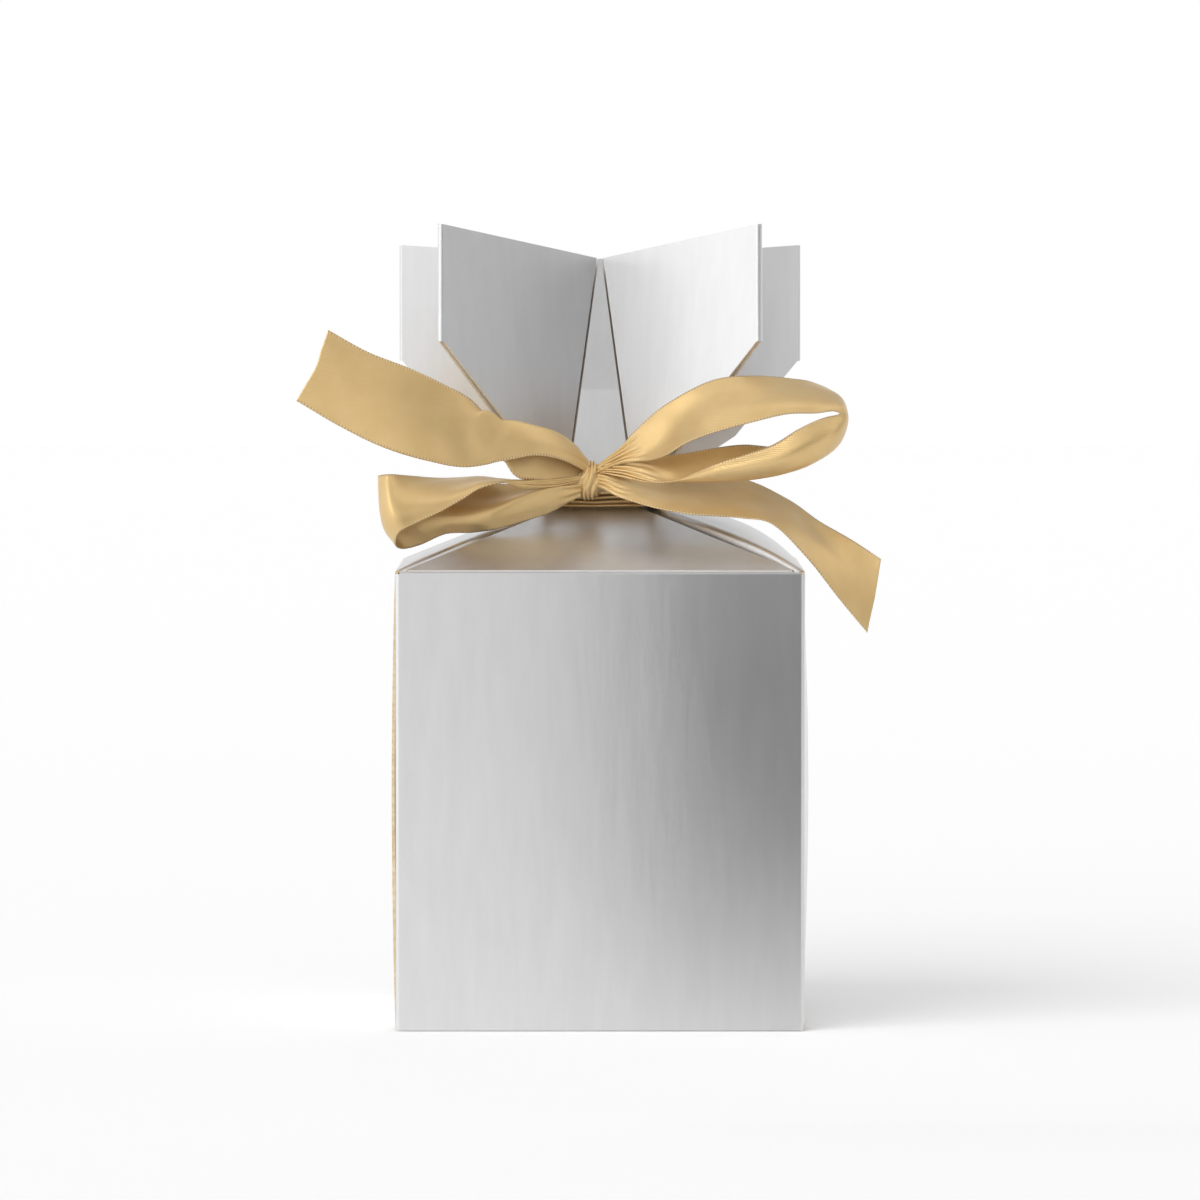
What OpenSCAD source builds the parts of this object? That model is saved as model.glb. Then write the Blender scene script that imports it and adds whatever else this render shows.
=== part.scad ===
// Favor box: a square folded carton whose four walls are pinched to a neck,
// open out above it as a crown of four folded petals, and are tied with a
// satin ribbon in a bow. Millimetres, +Z up. The origin is on the floor,
// under the middle of the square body; the front faces -Y.
// Every board panel is a flat plate on its own middle plane, set between
// fold points, so the panels of one blank meet along their creases.

/* [Box body] */
// outside width and depth of the square body
body_w = 60; // [50:1:75]
// height of the walls up to the roof crease
body_h = 67.5; // [50:0.5:90]
// thickness of the board
board_t = 0.45; // [0.35:0.05:0.6]
// how far the two side walls swell out at their middle
side_bow = 1.1; // [0:0.1:1.6]
// width of the glued seam flap behind the left wall
seam_flap_w = 8; // [6:0.5:12]

/* [Pinched neck and crown] */
// rise of the roof from the wall crease to the neck
roof_rise = 8.7; // [7:0.1:11]
// how far the two side roofs arch up at their middle
roof_bow = 2.6; // [0:0.1:3]
// width of each wall where the neck is pinched
neck_w = 11.4; // [10:0.1:13]
// height of the four middle points above the neck
crown_h = 36.9; // [30:0.1:44]
// length of each petal's outer fold
petal_fold = 16.8; // [13:0.1:20]
// height above the neck at which a petal's lower cut starts
petal_notch = 1.9; // [1.7:0.1:2.6]

/* [Bottom closure] */
// height of the tuck flap behind the front wall
tuck_h = 12; // [9:0.5:15]
// reach of each dust flap from its side wall
dust_reach = 24; // [18:0.5:26]
// inward lean of the tuck flap at rest, in degrees
tuck_lean = 5.5; // [5:0.5:8]

/* [Ribbon] */
// width of the satin ribbon
ribbon_w = 12; // [10:0.5:13]
// thickness of the satin ribbon
ribbon_t = 0.35; // [0.25:0.05:0.45]
// height of the tied knot
knot_h = 5.8; // [5:0.1:6.4]
// width of the tied knot
knot_w = 4.6; // [4:0.1:5]
// height of the gathered band round the neck
band_h = 1.6; // [1.4:0.1:1.8]
// thickness of the gathered band round the neck
band_t = 1.3; // [1:0.1:1.5]

/* [Fits] */
// clear gap at each crease between two panels
crease_gap = 0.2; // [0.1:0.05:0.3]
// clear gap beside a part that moves or is laid on another
free_gap = 0.3; // [0.2:0.05:0.4]
// how far each petal half is cut back from the tip of its spire
tip_relief = 0.8; // [0.6:0.1:1.2]
// distance by which a cutting shape runs past what it cuts
overrun = 1; // [0.5:0.5:2]

/* [Hidden] */
$fn = 48;

silver = [0.76, 0.76, 0.77];
silver_inner = [0.70, 0.69, 0.68];
gold = [0.80, 0.65, 0.42];

// Lengths of the body that follow from the sizes above.
half_t = board_t / 2;
body_half = body_w / 2;
mid_half = body_half - half_t;
inner_half = body_half - board_t;
crease_z = body_h - half_t;
neck_z = body_h + roof_rise;
neck_half = neck_w / 2;
square_inset = half_t + crease_gap / 2;
roof_tilt = atan2(roof_rise, body_half - neck_half);
roof_inset = half_t * tan((90 - roof_tilt) / 2) + crease_gap / 2;

// Bottom closure: levels from the floor up.
panel_mid_z = half_t;
flap_mid_z = board_t + crease_gap + half_t;
back_foot = board_t + crease_gap / 2;
side_foot = flap_mid_z + square_inset;
front_foot = half_t;
tuck_y = inner_half - free_gap - half_t;
panel_half = inner_half - 2 * free_gap;
tuck_half = body_half - seam_flap_w / 2;
tuck_round_share = 0.25;
tuck_round = tuck_round_share * tuck_h;
dust_back_share = 0.12;
dust_slant_share = 0.86;
dust_front_share = 0.89;
dust_tip_share = 0.83;

// Fold points of the neck and crown, as shares of width and height.
front_tip_share = 0.037;
side_tip_out_share = 0.020;
side_tip_back_share = 0.071;
back_tip_share = 0.102;
front_fold_out_share = 0.397;
front_fold_y_share = -0.258;
front_fold_foot_share = -0.295;
front_fold_rise_share = 1.141;
back_fold_out_share = 0.503;
back_fold_y_share = 0.183;
back_fold_rise_share = 1.057;
gusset_fold_share = 0.117;
corner_relief_share = 0.03;

tip_z = neck_z + crown_h;
front_tip = [0, front_tip_share * body_w, tip_z];
side_tip = [-side_tip_out_share * body_w, side_tip_back_share * body_w, tip_z];
back_tip = [0, back_tip_share * body_w, tip_z];
front_fold_top = [-front_fold_out_share * body_w, front_fold_y_share * body_w,
                  neck_z + front_fold_rise_share * crown_h];
front_fold_foot = [-front_fold_out_share * body_w, front_fold_foot_share * body_w,
                   front_fold_top[2] - petal_fold];
back_fold_top = [-back_fold_out_share * body_w, back_fold_y_share * body_w,
                 neck_z + back_fold_rise_share * crown_h];
back_fold_foot = [back_fold_top[0], back_fold_top[1], back_fold_top[2] - petal_fold];

// Small vector helpers.
function unit(v) = v / norm(v);
function flip(p) = [-p[0], p[1], p[2]];
function level(v) = [v[0], v[1], 0];
function level_y(v) = [v[0], 0, v[2]];
function plane_normal(a, b, c) = unit(cross(b - a, c - a));
// the point where the line from p along d meets the plane through a, b, c
function meet(a, b, c, p, d) = p + d * (((a - p) * plane_normal(a, b, c))
                                        / (d * plane_normal(a, b, c)));
// sideways direction of a fin that runs from its fold to its root
function fin_side(fold, root) = unit(cross([0, 0, 1], level(root - fold)));

// Each petal is a fin of two halves, one board apart at the outer fold.
fold_half_gap = half_t + crease_gap / 2;
front_side = fin_side(front_fold_top, (front_tip + side_tip) / 2);
back_side = fin_side(back_fold_top, (back_tip + side_tip) / 2);
front_half_top = front_fold_top - front_side * fold_half_gap;
front_half_foot = front_fold_foot - front_side * fold_half_gap;
left_half_top = front_fold_top + front_side * fold_half_gap;
left_half_foot = front_fold_foot + front_side * fold_half_gap;
leftb_half_top = back_fold_top - back_side * fold_half_gap;
leftb_half_foot = back_fold_foot - back_side * fold_half_gap;
back_half_top = back_fold_top + back_side * fold_half_gap;
back_half_foot = back_fold_foot + back_side * fold_half_gap;

// neck corners: each lies in the plane of its petal half, at the neck's height
front_neck = meet(front_tip, front_half_top, front_half_foot,
                  [-neck_half, 0, neck_z], [0, 1, 0]);
back_neck = meet(back_tip, back_half_top, back_half_foot,
                 [-neck_half, 0, neck_z], [0, 1, 0]);
left_neck_front = meet(side_tip, left_half_top, left_half_foot,
                       [0, -neck_half, neck_z], [1, 0, 0]);
left_neck_back = meet(side_tip, leftb_half_top, leftb_half_foot,
                      [0, neck_half, neck_z], [1, 0, 0]);

// A flat plate lies in the plane of its points. Each side of its outline, from
// p[i] to p[i + 1], is moved in by an inset of its own.
function side_dir(p, i) = unit(p[(i + 1) % len(p)] - p[i]);
function inward(p, i) = [-side_dir(p, i)[1], side_dir(p, i)[0]];
function moved_corner(p, gaps, i) =
    let (k = (i + len(p) - 1) % len(p),
         a = p[i] + inward(p, k) * gaps[k],
         b = p[i] + inward(p, i) * gaps[i],
         u = side_dir(p, k),
         v = side_dir(p, i),
         d = u[0] * v[1] - u[1] * v[0],
         s = ((b[0] - a[0]) * v[1] - (b[1] - a[1]) * v[0]) / d)
    a + u * s;
function inset_outline(p, gaps) = [for (i = [0:len(p) - 1]) moved_corner(p, gaps, i)];
function in_frame(p, o, ex, ey) = [(p - o) * ex, (p - o) * ey];

module plate(points, gaps) {
    o = points[0];
    ex = unit(points[1] - o);
    ez = plane_normal(points[0], points[1], points[2]);
    ey = cross(ez, ex);
    flat = [for (p = points) in_frame(p, o, ex, ey)];
    multmatrix([[ex[0], ey[0], ez[0], o[0]],
                [ex[1], ey[1], ez[1], o[1]],
                [ex[2], ey[2], ez[2], o[2]],
                [0, 0, 0, 1]])
        translate([0, 0, -half_t])
            linear_extrude(board_t)
                polygon(inset_outline(flat, gaps));
}

// Walls.
front_wall_half = mid_half - square_inset;

module wall_plate(foot, low_side, high_side) {
    // drawn facing -Y; low_side and high_side are its two x limits
    translate([low_side, -body_half, foot])
        cube([high_side - low_side, board_t, crease_z - roof_inset - foot]);
}

module front_wall() {
    color(silver)
        wall_plate(front_foot, -front_wall_half, front_wall_half);
}

module back_wall() {
    color(silver)
        mirror([0, 1, 0])
            wall_plate(back_foot, -front_wall_half, front_wall_half);
}

// A bent sheet is one solid between two grids of points, of n + 1 rows of
// m + 1 points each. Seen with the rows running up and the points running
// right, top is the grid on the near side.
module sheet_solid(top, low, n, m) {
    count = len(top);
    function at(i, j) = i * (m + 1) + j;
    upper = [for (i = [0:n - 1]) for (j = [0:m - 1]) for (k = [0, 1])
                 k == 0 ? [at(i, j), at(i, j + 1), at(i + 1, j + 1)]
                        : [at(i, j), at(i + 1, j + 1), at(i + 1, j)]];
    lower = [for (f = upper) [f[0] + count, f[2] + count, f[1] + count]];
    rim = concat([for (i = [0:n - 1]) [at(i, 0), at(i + 1, 0)]],
                 [for (j = [0:m - 1]) [at(n, j), at(n, j + 1)]],
                 [for (i = [0:n - 1]) [at(n - i, m), at(n - i - 1, m)]],
                 [for (j = [0:m - 1]) [at(0, m - j), at(0, m - j - 1)]]);
    edge = [for (e = rim) for (k = [0, 1])
                k == 0 ? [e[0], e[1], e[1] + count] : [e[0], e[1] + count, e[0] + count]];
    polyhedron(points = concat(top, low), faces = concat(upper, lower, edge),
               convexity = 6);
}

// side walls swell like a pillow: the bow dies out at all four edges
bow_rows = 8;
function bow_at(y, z) = side_bow * (1 - pow(y / body_half, 2))
                        * (1 - pow(2 * z / body_h - 1, 2));

module bowed_sheet(y_low, y_high, z_low, z_high, outer) {
    // outer is how far its outer face lies from the middle plane X = 0
    n = bow_rows;
    grid = [for (i = [0:n]) for (j = [0:n])
                let (y = y_low + (y_high - y_low) * i / n,
                     z = z_low + (z_high - z_low) * j / n)
                [outer + bow_at(y, z), y, z]];
    sheet_solid(grid, [for (p = grid) [p[0] - board_t, p[1], p[2]]], n, n);
}

module right_wall() {
    color(silver)
        bowed_sheet(-front_wall_half, front_wall_half,
                    side_foot, crease_z - roof_inset, body_half);
}

module left_wall() {
    // its front edge is the raw edge of the seam, close to the front corner
    color(silver)
        mirror([1, 0, 0])
            bowed_sheet(-body_half + board_t + crease_gap, front_wall_half,
                        side_foot, crease_z - roof_inset, body_half);
}

module seam_flap() {
    // glued face to face behind the left wall, it follows the same bow
    color(silver_inner)
        mirror([1, 0, 0])
            bowed_sheet(-inner_half + crease_gap, -inner_half + seam_flap_w,
                        side_foot + free_gap, crease_z - roof_inset - seam_flap_w / 2,
                        inner_half - crease_gap / 2);
}

// Bottom closure.
module rolled_flap(reach, low_side, high_side) {
    // a plate in the XY plane with a round fold along the X axis; runs to -Y
    rotate([0, 90, 0])
        translate([0, 0, low_side])
            cylinder(r = half_t, h = high_side - low_side);
    translate([low_side, -reach, -half_t])
        cube([high_side - low_side, reach, board_t]);
}

module bottom_panel() {
    color(silver_inner)
        translate([0, mid_half, panel_mid_z])
            rolled_flap(mid_half + tuck_y - square_inset, -panel_half, panel_half);
}

module tuck_flap() {
    color(silver_inner)
        translate([0, -tuck_y, panel_mid_z])
            rotate([90 - tuck_lean, 0, 0])
                union() {
                    rotate([0, 90, 0])
                        translate([0, 0, -tuck_half])
                            cylinder(r = half_t, h = 2 * tuck_half);
                    translate([0, 0, -half_t])
                        linear_extrude(board_t)
                            tuck_outline();
                }
}

module tuck_outline() {
    translate([-tuck_half, 0])
        square([2 * tuck_half, tuck_h - tuck_round]);
    translate([-tuck_half + tuck_round, 0])
        square([2 * (tuck_half - tuck_round), tuck_h]);
    for (side = [-1, 1])
        translate([side * (tuck_half - tuck_round), tuck_h - tuck_round])
            circle(r = tuck_round);
}

module dust_flap() {
    // the left flap, hinged along Y at the foot of the left wall; its back
    // edge runs off so that the bottom panel always swings away below it
    back_y = mid_half - dust_back_share * body_half;
    front_y = mid_half - dust_front_share * body_w;
    tip_y = mid_half - dust_tip_share * body_w;
    translate([-mid_half, 0, flap_mid_z]) {
        rotate([90, 0, 0])
            translate([0, 0, -back_y])
                cylinder(r = half_t, h = back_y - front_y);
        translate([0, 0, -half_t])
            linear_extrude(board_t)
                polygon([[0, back_y], [0, front_y], [dust_reach, tip_y],
                         [dust_reach, back_y - dust_slant_share * dust_reach]]);
    }
}

module left_dust_flap() {
    color(silver_inner) dust_flap();
}

module right_dust_flap() {
    color(silver_inner) mirror([1, 0, 0]) dust_flap();
}

// Roof: a trapezium on each wall, up to the neck.
corner_relief = corner_relief_share * body_w;
roof_corner = mid_half - corner_relief;

module front_roof() {
    color(silver)
        plate([[-roof_corner, -mid_half, crease_z], [roof_corner, -mid_half, crease_z],
               flip(front_neck), front_neck],
              [roof_inset, 0, crease_gap, 0]);
}

module back_roof() {
    color(silver)
        plate([[roof_corner, mid_half, crease_z], [-roof_corner, mid_half, crease_z],
               back_neck, flip(back_neck)],
              [roof_inset, 0, crease_gap, 0]);
}

left_neck_out = -(left_neck_front[0] + left_neck_back[0]) / 2;
left_neck = [-left_neck_out, -neck_half, neck_z];

// the side roofs arch up from wall to neck, a little less along their edges
arch_rows = 8;
arch_lean_share = 0.4;
arch_edge_share = 0.75;
held_arch_share = 0.45;
function arch_shape(s, w) = 4 * s * (1 - s)
                            * (1 + arch_lean_share / 2 - arch_lean_share * s)
                            * (1 - (1 - arch_edge_share) * pow(w, 2));

module side_roof(arch) {
    // drawn on the left; arch is its height at the middle
    foot = [-mid_half, 0, crease_z];
    slope = level_y(left_neck - foot);
    run = norm(slope);
    up = [-slope[2], 0, slope[0]] / run;
    n = arch_rows;
    function spot(i, j, lift) =
        let (s = i / n, w = 2 * j / n - 1,
             t = (roof_inset + s * (run - roof_inset - crease_gap)) / run,
             half = roof_corner + (neck_half - roof_corner) * t)
        foot + slope * t + [0, half * w, 0] + up * (arch * arch_shape(s, w) + lift);
    sheet_solid([for (i = [0:n]) for (j = [0:n]) spot(i, j, half_t)],
                [for (i = [0:n]) for (j = [0:n]) spot(i, j, -half_t)], n, n);
}

module left_roof() {
    // the loop that lies over it holds it flatter
    color(silver) side_roof(held_arch_share * roof_bow);
}

module right_roof() {
    color(silver) mirror([1, 0, 0]) side_roof(roof_bow);
}

// Gussets: two triangles under each roof corner, folded in together.
gusset_drop = half_t + crease_gap + free_gap;
gusset_fold = gusset_fold_share * body_w;

// a corner at (-mid_half, -mid_half); toward says which wall the half is on
module gusset_half(neck_point, toward) {
    corner = [-mid_half, -mid_half, crease_z];
    run = neck_point - corner;
    diagonal = unit([1, 1, 0]);
    aside = [1, -1, 0] * toward / sqrt(2) * (half_t + crease_gap / 2);
    start = corner + run * corner_relief / norm(run) * 2
            + aside - [0, 0, gusset_drop];
    finish = corner + run * (1 - corner_relief / norm(run)) - [0, 0, gusset_drop];
    ridge = unit(finish - start);
    fold = start + (diagonal * (ridge * diagonal) - [0, 0, 1]) * gusset_fold
           * ridge[0];
    plate(toward > 0 ? [start, fold, finish] : [start, finish, fold], [0, 0, 0]);
}

module gusset_front_left_a() {
    color(silver_inner) gusset_half(front_neck, 1);
}

module gusset_front_left_b() {
    color(silver_inner) gusset_half(left_neck, -1);
}

module gusset_front_right_a() {
    color(silver_inner) mirror([1, 0, 0]) gusset_half(front_neck, 1);
}

module gusset_front_right_b() {
    color(silver_inner) mirror([1, 0, 0]) gusset_half(left_neck, -1);
}

back_neck_mirrored = [back_neck[0], -back_neck[1], back_neck[2]];

module gusset_back_left_a() {
    color(silver_inner) mirror([0, 1, 0]) gusset_half(back_neck_mirrored, 1);
}

module gusset_back_left_b() {
    color(silver_inner) mirror([0, 1, 0]) gusset_half(left_neck, -1);
}

module gusset_back_right_a() {
    color(silver_inner)
        mirror([1, 0, 0])
            mirror([0, 1, 0])
                gusset_half(back_neck_mirrored, 1);
}

module gusset_back_right_b() {
    color(silver_inner)
        mirror([1, 0, 0])
            mirror([0, 1, 0])
                gusset_half(left_neck, -1);
}

// Crown: a narrow spire in the middle of each wall, petals between.
root_gap = crease_gap + half_t / 2;
side_root_gap = root_gap + half_t / 2;

module spire(right_foot, left_foot, tip) {
    // feet and tip run anticlockwise as seen from outside the box
    plate([left_foot, right_foot, tip], [crease_gap, root_gap, root_gap]);
}

module front_spire() {
    color(silver) spire(flip(front_neck), front_neck, front_tip);
}

module back_spire() {
    color(silver) spire(back_neck, flip(back_neck), back_tip);
}

module left_spire() {
    color(silver) spire(left_neck_front, left_neck_back, side_tip);
}

module right_spire() {
    color(silver) mirror([1, 0, 0]) left_spire();
}

// one half of a petal: from the crease at the spire out to the outer fold
module petal_half(neck_point, tip, fold_top, fold_foot, gap, turned) {
    crease = tip - neck_point;
    start = neck_point + crease * petal_notch / norm(crease);
    corner = tip + unit(fold_top - tip) * tip_relief;
    outline = [start, fold_foot, fold_top, corner];
    backward = [start, corner, fold_top, fold_foot];
    plate(turned ? backward : outline, turned ? [gap, 0, 0, 0] : [0, 0, 0, gap]);
}

module petal_front_left_a() {
    color(silver)
        petal_half(front_neck, front_tip, front_half_top, front_half_foot,
                   root_gap, true);
}

module petal_front_left_b() {
    color(silver)
        petal_half(left_neck_front, side_tip, left_half_top, left_half_foot,
                   side_root_gap, false);
}

module petal_front_right_a() {
    color(silver)
        mirror([1, 0, 0])
            petal_half(front_neck, front_tip, front_half_top, front_half_foot,
                   root_gap, true);
}

module petal_front_right_b() {
    color(silver)
        mirror([1, 0, 0])
            petal_half(left_neck_front, side_tip, left_half_top, left_half_foot,
                   side_root_gap, false);
}

module petal_back_left_a() {
    color(silver)
        petal_half(back_neck, back_tip, back_half_top, back_half_foot,
                   root_gap, false);
}

module petal_back_left_b() {
    color(silver)
        petal_half(left_neck_back, side_tip, leftb_half_top, leftb_half_foot,
                   side_root_gap, true);
}

module petal_back_right_a() {
    color(silver)
        mirror([1, 0, 0])
            petal_half(back_neck, back_tip, back_half_top, back_half_foot,
                   root_gap, false);
}

module petal_back_right_b() {
    color(silver)
        mirror([1, 0, 0])
            petal_half(left_neck_back, side_tip, leftb_half_top, leftb_half_foot,
                   side_root_gap, true);
}

// Ribbon: a band gathered round the neck, a knot, two loops and two tails.
band_in = max(-front_neck[1], back_neck[1], -left_neck_front[0], -left_neck_back[0])
          + half_t + free_gap;
band_cut = band_in - neck_half;
band_low = neck_z + half_t + free_gap;

function band_outline(reach, cut) =
    [[reach, cut - reach], [reach, reach - cut], [reach - cut, reach], [cut - reach, reach],
     [-reach, reach - cut], [-reach, cut - reach], [cut - reach, -reach], [reach - cut, -reach]];

module ribbon_band() {
    color(gold)
        translate([0, 0, band_low])
            difference() {
                linear_extrude(band_h)
                    polygon(band_outline(band_in + band_t, band_cut));
                translate([0, 0, -overrun])
                    linear_extrude(band_h + 2 * overrun)
                        polygon(band_outline(band_in, band_cut));
            }
}

knot_side_share = -0.35;
knot_rise_share = 0.61;
knot_seat_share = 0.47;
knot_steps = 12;
knot_at = [knot_side_share * knot_w,
           -(band_in + band_t + knot_seat_share * knot_w),
           band_low + knot_rise_share * knot_h];

module ribbon_knot() {
    // a short barrel, rounded towards both ends
    color(gold)
        translate(knot_at)
            rotate_extrude()
                polygon([for (i = [0:knot_steps])
                             let (turn = 180 * i / knot_steps - 90)
                             [knot_w / 2 * cos(turn), knot_h / 2 * sin(turn)]]);
}

// Each ribbon run is a table of stations in shares of the ribbon's width,
// measured from the middle of the knot: the middle of the strip, then half
// of its width as an arrow, then how far its middle is curled off straight.
left_tail_shares = [
    [-0.19, -0.04, 0.21, 0.01, 0.03, 0.06, 0.02],
    [-0.45, -0.20, 0.37, 0.01, 0.12, 0.20, 0.05],
    [-0.75, -0.38, 0.47, 0.01, 0.20, 0.31, 0.05],
    [-1.10, -0.54, 0.51, 0.02, 0.24, 0.37, 0.02],
    [-1.50, -0.66, 0.57, 0.06, 0.20, 0.42, 0],
    [-1.95, -0.74, 0.78, 0.10, 0.10, 0.47, 0],
    [-2.40, -0.80, 0.95, 0.14, 0.05, 0.47, 0],
    [-2.90, -0.87, 1.18, 0.17, 0.02, 0.46, 0],
    [-3.40, -0.93, 1.46, 0.20, -0.04, 0.45, 0]];
right_tail_shares = [
    [0.22, -0.06, -0.10, 0, 0.03, 0.05, 0],
    [0.50, -0.15, -0.15, 0, 0.14, 0.11, 0],
    [0.80, -0.22, -0.17, 0.01, 0.28, 0.15, 0],
    [1.25, -0.29, -0.19, 0.02, 0.38, 0.20, 0],
    [1.90, -0.38, -0.21, 0.05, 0.41, 0.22, 0],
    [2.35, -0.48, -0.34, 0.10, 0.40, 0.19, 0],
    [2.75, -0.62, -0.66, 0.12, 0.38, 0.24, 0],
    [3.13, -0.75, -1.02, 0.11, 0.32, 0.34, 0],
    [3.50, -0.84, -1.38, 0.09, 0.22, 0.44, 0]];
left_loop_shares = [
    [-0.19, -0.02, -0.17, 0, 0.03, 0.05, 0],
    [-0.45, -0.13, -0.22, 0, 0.10, 0.14, -0.03],
    [-0.75, -0.22, -0.25, 0, 0.16, 0.24, -0.05],
    [-1.25, -0.32, -0.26, 0, 0.18, 0.33, -0.04],
    [-1.75, -0.38, -0.28, 0, 0.15, 0.38, 0],
    [-2.15, -0.48, -0.31, -0.05, 0.09, 0.44, 0],
    [-2.39, -0.66, -0.33, -0.10, 0.03, 0.47, 0],
    [-2.45, -0.86, -0.31, -0.11, 0.01, 0.47, 0],
    [-2.33, -1.03, -0.28, -0.08, 0.01, 0.42, 0],
    [-2.05, -1.10, -0.19, -0.04, 0.10, 0.30, 0],
    [-1.66, -1.06, -0.12, -0.01, 0.21, 0.18, 0],
    [-1.22, -0.87, -0.10, 0, 0.23, 0.09, 0],
    [-0.80, -0.60, -0.09, 0, 0.18, 0.05, 0],
    [-0.48, -0.38, -0.08, 0, 0.08, 0.03, 0],
    [-0.24, -0.18, -0.06, 0, 0.03, 0.02, 0]];
right_loop_shares = [
    [0.19, -0.07, 0.20, -0.01, 0.03, 0.06, 0],
    [0.62, -0.30, 0.44, -0.06, 0.14, 0.15, 0.02],
    [1.04, -0.54, 0.73, -0.04, 0.20, 0.28, 0.02],
    [1.57, -0.76, 0.98, 0, 0.28, 0.33, 0],
    [2.18, -0.84, 1.08, 0.04, 0.34, 0.28, 0],
    [2.65, -0.83, 1.08, 0.08, 0.38, 0.20, 0],
    [2.95, -0.76, 0.97, 0.12, 0.40, 0.10, 0],
    [3.04, -0.70, 0.79, 0.16, 0.40, -0.03, 0],
    [2.87, -0.64, 0.60, 0.17, 0.41, -0.12, 0],
    [2.47, -0.56, 0.44, 0.12, 0.44, -0.10, -0.05],
    [1.88, -0.50, 0.32, 0.06, 0.43, -0.02, -0.10],
    [1.32, -0.40, 0.23, 0.02, 0.36, 0.04, -0.10],
    [0.80, -0.26, 0.15, 0, 0.20, 0.05, -0.05],
    [0.45, -0.14, 0.09, 0, 0.09, 0.03, -0.02],
    [0.23, -0.06, 0.05, 0, 0.03, 0.02, 0]];

strip_steps = 3;
strip_across = 4;

// smooth curve through the stations, strip_steps pieces between two of them
function station(rows, i) = rows[max(0, min(len(rows) - 1, i))];
function between(rows, i, f) =
    let (a = station(rows, i - 1), b = station(rows, i),
         c = station(rows, i + 1), d = station(rows, i + 2))
    (b * 2 + (c - a) * f + (a * 2 - b * 5 + c * 4 - d) * pow(f, 2)
     + (b * 3 - a - c * 3 + d) * pow(f, 3)) / 2;
function smooth(rows) = concat(
    [for (i = [0:len(rows) - 2]) for (k = [0:strip_steps - 1])
         between(rows, i, k / strip_steps)],
    [rows[len(rows) - 1]]);

module ribbon_run(shares) {
    rows = smooth(shares);
    n = len(rows) - 1;
    m = strip_across;
    function mid(i) = [for (k = [0:2]) rows[i][k]];
    function arrow(i) = [for (k = [3:5]) rows[i][k]];
    function along(i) = unit(mid(min(n, i + 1)) - mid(max(0, i - 1)));
    function facing(i) = unit(cross(along(i), arrow(i)));
    function spot(i, j, lift) =
        let (c = 2 * j / m - 1)
        knot_at + (mid(i) + arrow(i) * c + facing(i) * rows[i][6] * (1 - pow(c, 2)))
                  * ribbon_w + facing(i) * lift;
    sheet_solid([for (i = [0:n]) for (j = [0:m]) spot(i, j, ribbon_t / 2)],
                [for (i = [0:n]) for (j = [0:m]) spot(i, j, -ribbon_t / 2)], n, m);
}

module ribbon_left_tail() {
    color(gold) ribbon_run(left_tail_shares);
}

module ribbon_right_tail() {
    color(gold) ribbon_run(right_tail_shares);
}

module ribbon_left_loop() {
    color(gold) ribbon_run(left_loop_shares);
}

module ribbon_right_loop() {
    color(gold) ribbon_run(right_loop_shares);
}

front_wall();
right_wall();
back_wall();
left_wall();
seam_flap();
bottom_panel();
tuck_flap();
left_dust_flap();
right_dust_flap();
front_roof();
right_roof();
back_roof();
left_roof();
gusset_front_left_a();
gusset_front_left_b();
gusset_front_right_a();
gusset_front_right_b();
gusset_back_left_a();
gusset_back_left_b();
gusset_back_right_a();
gusset_back_right_b();
front_spire();
right_spire();
back_spire();
left_spire();
petal_front_left_a();
petal_front_left_b();
petal_front_right_a();
petal_front_right_b();
petal_back_left_a();
petal_back_left_b();
petal_back_right_a();
petal_back_right_b();
ribbon_band();
ribbon_knot();
ribbon_left_loop();
ribbon_right_loop();
ribbon_left_tail();
ribbon_right_tail();
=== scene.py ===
# %% [markdown]
# # A silver favor box with a gold ribbon bow
#
# The real object is one die-cut blank of silver foil card. It is folded to a
# square body, pinched to a narrow neck, and opened again above the neck as a
# crown of four folded petals. A satin ribbon is gathered round the neck and
# tied in a bow.
#
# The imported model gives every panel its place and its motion. This script adds
# what a plate of the model can't show: rounded creases, the pale core of the
# card at its cut edges, foil, and a ribbon that bends like cloth.

import math

import bmesh
import bpy
from mathutils import Matrix, Vector, noise


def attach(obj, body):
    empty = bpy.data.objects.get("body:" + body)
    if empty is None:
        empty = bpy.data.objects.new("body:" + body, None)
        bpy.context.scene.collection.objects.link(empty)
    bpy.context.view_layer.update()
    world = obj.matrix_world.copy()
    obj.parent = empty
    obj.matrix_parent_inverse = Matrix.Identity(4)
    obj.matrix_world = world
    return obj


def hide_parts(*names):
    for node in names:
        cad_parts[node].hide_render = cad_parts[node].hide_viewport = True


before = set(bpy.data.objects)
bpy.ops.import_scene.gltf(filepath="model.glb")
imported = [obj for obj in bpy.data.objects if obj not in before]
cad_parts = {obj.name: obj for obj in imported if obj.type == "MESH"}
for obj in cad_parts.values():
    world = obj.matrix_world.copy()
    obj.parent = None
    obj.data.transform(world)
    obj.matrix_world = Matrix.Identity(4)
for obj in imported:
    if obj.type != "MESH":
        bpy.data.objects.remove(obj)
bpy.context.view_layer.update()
MM = 0.001

# %% [markdown]
# ## Camera
#
# The photograph looks at the front wall almost level, from far away through a
# long lens, so the walls stay parallel. The camera stands 1.3 m in front of the
# box and 113 mm up. It is tipped by its own rotation and not by a lens shift, so
# that it can be moved round the box later.

# %% Place the camera
PHOTO_PIXELS = 1200
PIXELS_PER_MM = 6.83
SENSOR_W = 36
STAND_OFF = 1300
FRONT_Y, WALL_MIDDLE_Z = -30, 33.75
RISE_DEG = 3.5
TILT_DEG = 2.2
SEES_FOR = 20

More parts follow.
